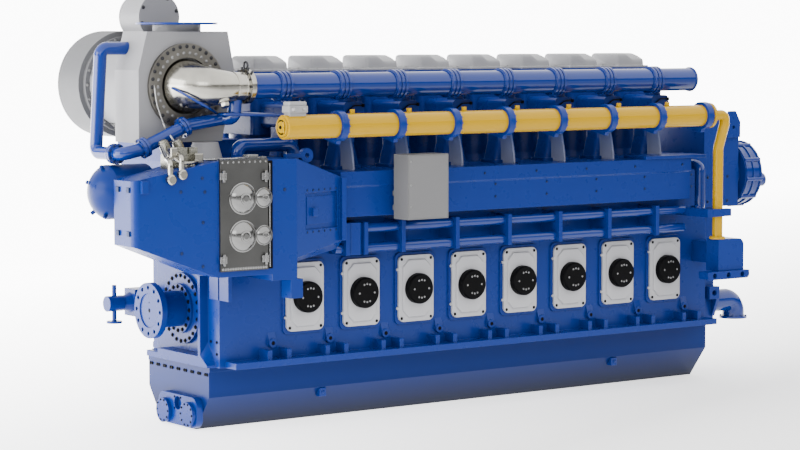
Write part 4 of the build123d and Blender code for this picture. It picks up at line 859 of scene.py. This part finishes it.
# %% Valve knobs
group_face, knob_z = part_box("valve_group")[0].y, 3.215
knob_profile = [(0.034, -0.004), (0.034, 0.018), (0.026, 0.024), (0.018, 0.024), (0.018, 0.034)]
actuator_profile = [(0.048, -0.004), (0.048, 0.016), (0.030, 0.024)]
actuator_way, actuator_length = Vector((-0.47, 0, 1)).normalized(), 0.220
knobs = bmesh.new()
for x in (-4.850, -4.755):
    spin(knobs, facing((x, group_face, knob_z), near), knob_profile, sides=6)
for x in (-4.900, -4.720):
    top = Vector((x, -1.310, 3.280)) + actuator_way * actuator_length
    spin(knobs, facing(top, actuator_way), actuator_profile, sides=20)
for x in (-4.795, -4.660):
    bar(knobs, (x - 0.045, -1.428, 3.320), (x + 0.045, -1.418, 3.395))
keep_piece("valve_knobs", knobs, brass)

# %% Bonnets and couplings of the valve group
bonnet_y, stem_y = -1.612, -1.655
bonnet_profile = [(0.046, 0), (0.046, 0.050), (0.058, 0.054), (0.058, 0.082), (0.044, 0.096)]
coupling = [(-4.640, -1.480, 3.260), (-4.760, -1.575, 3.250), (-4.900, -1.575, 3.250),
            (-4.960, -1.500, 3.300)]
bonnets = bmesh.new()
for x, z in ((-5.100, 3.075), (-4.955, 3.127)):
    spin(bonnets, facing((x, bonnet_y, z), near), bonnet_profile, sides=28)
    stem = [(x, stem_y, z), (x, stem_y, z + 0.200), (x + 0.070, -1.460, z + 0.220)]
    tube(bonnets, stem, radius=0.030, reach=0.06, sides=16)
bar(bonnets, (-5.000, -1.505, 3.280), (-4.912, -1.410, 3.425), bevel=0.012)
bar(bonnets, (-4.690, -1.505, 3.235), (-4.580, -1.400, 3.350), bevel=0.012)
tube(bonnets, coupling, radius=0.018)
keep_piece("valve_bonnets", bonnets, shield)

# %% [markdown]
# ## Pump end
# Each water pump is a drum between bolted rims, with tie bars across. The oil bend ends in a bolted flange.
# The rims are turned round the pump's axis and the tie bars are short tubes, so both pumps come from one
# loop.

# %% Pump rims, tie bars and bolts
pump_z, tie_start, tie_circle = 2.770, 4.350, 0.432
pump_rim_profile = [(0.425, 0), (0.446, 0.004), (0.446, 0.028), (0.425, 0.032)]
rims, spots = bmesh.new(), []
for y in (-0.560, 0.560):
    for x in (4.346, 4.470, 4.604):
        spin(rims, facing((x, y, pump_z), right), pump_rim_profile, sides=64)
    for dy, dz in around(tie_circle, 10, start=0.15):
        tie_bar = [(tie_start + along, y + dy, pump_z + dz) for along in (0.0, 0.140, 0.280)]
        tube(rims, tie_bar, radius=0.030, reach=0.02)
    spots += ring((4.640, y, pump_z), right, radius=0.378, count=16)
    spots += ring((4.720, y, pump_z), right, radius=0.270, count=12)
keep_piece("pump_rims", rims, pipe_blue)
bolts("pump_bolts", spots, blue_in_painted_shade, radius=0.013)
oil_flange, casing_y, casing_x, casing_z = (4.413, -0.690, 0.812), -0.900, 4.280, 3.42
bolts("oil_flange_bolts", ring(oil_flange, up, radius=0.170, count=8), blue_in_painted_shade, radius=0.011)
spots = [((x, casing_y, z), near) for x in (3.72, 3.90, 4.08) for z in (2.42, 2.75)]
spots += [((casing_x, y, casing_z), right) for y in (-0.70, -0.35, 0.0, 0.35, 0.70)]
bolts("end_casing_bolts", spots, blue_in_painted_shade, radius=0.014)

# %% [markdown]
# ## Hidden side
# The camshaft covers on the far side are bolted round their edges, and each fuel pump has a hexagon cap.
# This side is known from engines of the same kind only, so it gets only a few plain fittings.

# %% Far side bolts and caps
cam_face, pump_y, cap_z, pump_foot = 1.160, 0.750, 3.540, 3.360
cap_profile = [(0.062, 0), (0.062, 0.045), (0.050, 0.055), (0.026, 0.055), (0.026, 0.085)]
cam_spots, pump_spots, caps = [], [], bmesh.new()
for x in cylinders:
    cam_spots += [((x + dx, cam_face, z), far) for dx in (-0.285, 0.0, 0.285) for z in (2.595, 2.945)]
    pump_spots += [((x + dx, pump_y + dy, pump_foot), up) for dx in (-0.105, 0.105) for dy in (-0.115, 0.115)]
    spin(caps, facing((x, pump_y, cap_z), up), cap_profile, sides=6)
bolts("cam_cover_bolts", cam_spots, blue_in_painted_shade, radius=0.012)
keep_piece("fuel_pump_caps", caps, bolt_steel)
bolts("fuel_pump_bolts", pump_spots, bolt_steel, radius=0.012)

# %% [markdown]
# ## The studio
# The engine stands in a plain white studio. The pale floor glows behind the engine, so that it melts into
# the background, and gets darker far out in front, so that the glossy side doesn't mirror too much white.
# The world is bright overhead, which lights the tops, and has a band of light behind the engine near the
# horizon. A wide soft lamp on the left makes the end faces pale, and a weaker one in front fills the shade.
# Nodes do most of this, because many lamps would show as spots in the gloss.

# %% Floor
backwards, forwards = (-0.36, 0.93, 0.0), (0.585, -0.811, 0.0)
floor_reach, white = 900.0, (1, 1, 1, 1)
floor_glow_from, floor_glow = (-3.0, 14.0), (0.40, 9.0)
floor_shade_from, floor_shade = (6.0, 17.0), (0.86, 0.22)
corners = [(x * floor_reach, y * floor_reach, 0) for x, y in ((-1, -1), (1, -1), (1, 1), (-1, 1))]
floor_mesh = bpy.data.meshes.new("studio_floor")
floor_mesh.from_pydata(corners, [], [(0, 1, 2, 3)])
floor = bpy.data.objects.new("studio_floor", floor_mesh)
bpy.context.scene.collection.objects.link(floor)
floor_paint, tree, shader = start_finish("studio_floor_paint")
shader.inputs["Roughness"].default_value = 0.9
shader.inputs["Specular IOR Level"].default_value = 0.1
shader.inputs["Emission Color"].default_value = white
spot = tree.nodes.new("ShaderNodeTexCoord").outputs["Object"]
shade = spread(tree, dot_product(tree, spot, forwards), floor_shade_from, floor_shade)
tree.links.new(shade, shader.inputs["Base Color"])
glow = spread(tree, dot_product(tree, spot, backwards), floor_glow_from, floor_glow)
tree.links.new(glow, shader.inputs["Emission Strength"])
floor_mesh.materials.append(floor_paint)
print("floor reaches", floor_reach)

# %% World
behind_from, behind_light = (-0.3, 0.38), (0.70, 11.5)
band_from, band_light = (0.06, 0.14), (1.0, 0.0)
above_from, above_light = (0.20, 0.27), (0.0, 2.9)
world = bpy.data.worlds.new("studio_world")
world.use_nodes = True
tree = world.node_tree
sky = tree.nodes["Background"]
sky.inputs["Color"].default_value = white
toward = tree.nodes.new("ShaderNodeTexCoord").outputs["Generated"]
height = height_of(tree, toward)
behind = spread(tree, dot_product(tree, toward, backwards), behind_from, behind_light)
band = combine(tree, "MULTIPLY", behind, spread(tree, height, band_from, band_light))
above = spread(tree, height, above_from, above_light)
tree.links.new(combine(tree, "MAXIMUM", band, above), sky.inputs["Strength"])
bpy.context.scene.world = world
print("world nodes:", len(tree.nodes))

# %% Lamps
def soft_lamp(name, place, aim, width, height, watts):
    lamp = bpy.data.lights.new(name, "AREA")
    lamp.shape = "RECTANGLE"
    lamp.size, lamp.size_y, lamp.energy = width, height, watts
    holder = bpy.data.objects.new(name, lamp)
    bpy.context.scene.collection.objects.link(holder)
    holder.location = place
    holder.rotation_mode = "QUATERNION"
    holder.rotation_quaternion = (Vector(aim) - Vector(place)).to_track_quat("-Z", "Y")
    print(name, watts, "W")


soft_lamp("left_softbox", (-26, 2, 9), (-4, 0, 2.5), width=16, height=12, watts=5200)
soft_lamp("front_fill", (-20, -22, 12), (0, 0, 1.5), width=10, height=8, watts=1000)

# %% [markdown]
# ## The camera
# The camera has the photograph's place: it looks along the engine from the coupling end, slightly down. Its
# lens is worked out from the focal length in the photograph's pixels, so that the engine fills the picture
# alike.

# %% Camera
sensor_width, photo_width, focal_pixels = 36.0, 800, 2436.8
turn, tilt = math.radians(35.827), math.radians(4.608)
looking = Vector((math.sin(turn) * math.cos(tilt), math.cos(turn) * math.cos(tilt), -math.sin(tilt)))
camera = bpy.data.objects.new("camera", bpy.data.cameras.new("camera"))
bpy.context.scene.collection.objects.link(camera)
camera.data.sensor_width = sensor_width
camera.data.lens = sensor_width * focal_pixels / photo_width
camera.data.clip_end = 3000
camera.location = (-18.876, -25.099, 4.753)
camera.rotation_mode = "QUATERNION"
camera.rotation_quaternion = looking.to_track_quat("-Z", "Y")
bpy.context.scene.camera = camera
print("camera looks along", [round(v, 3) for v in looking])

# %% [markdown]
# The dressed engine has to stay inside the box of the solids.
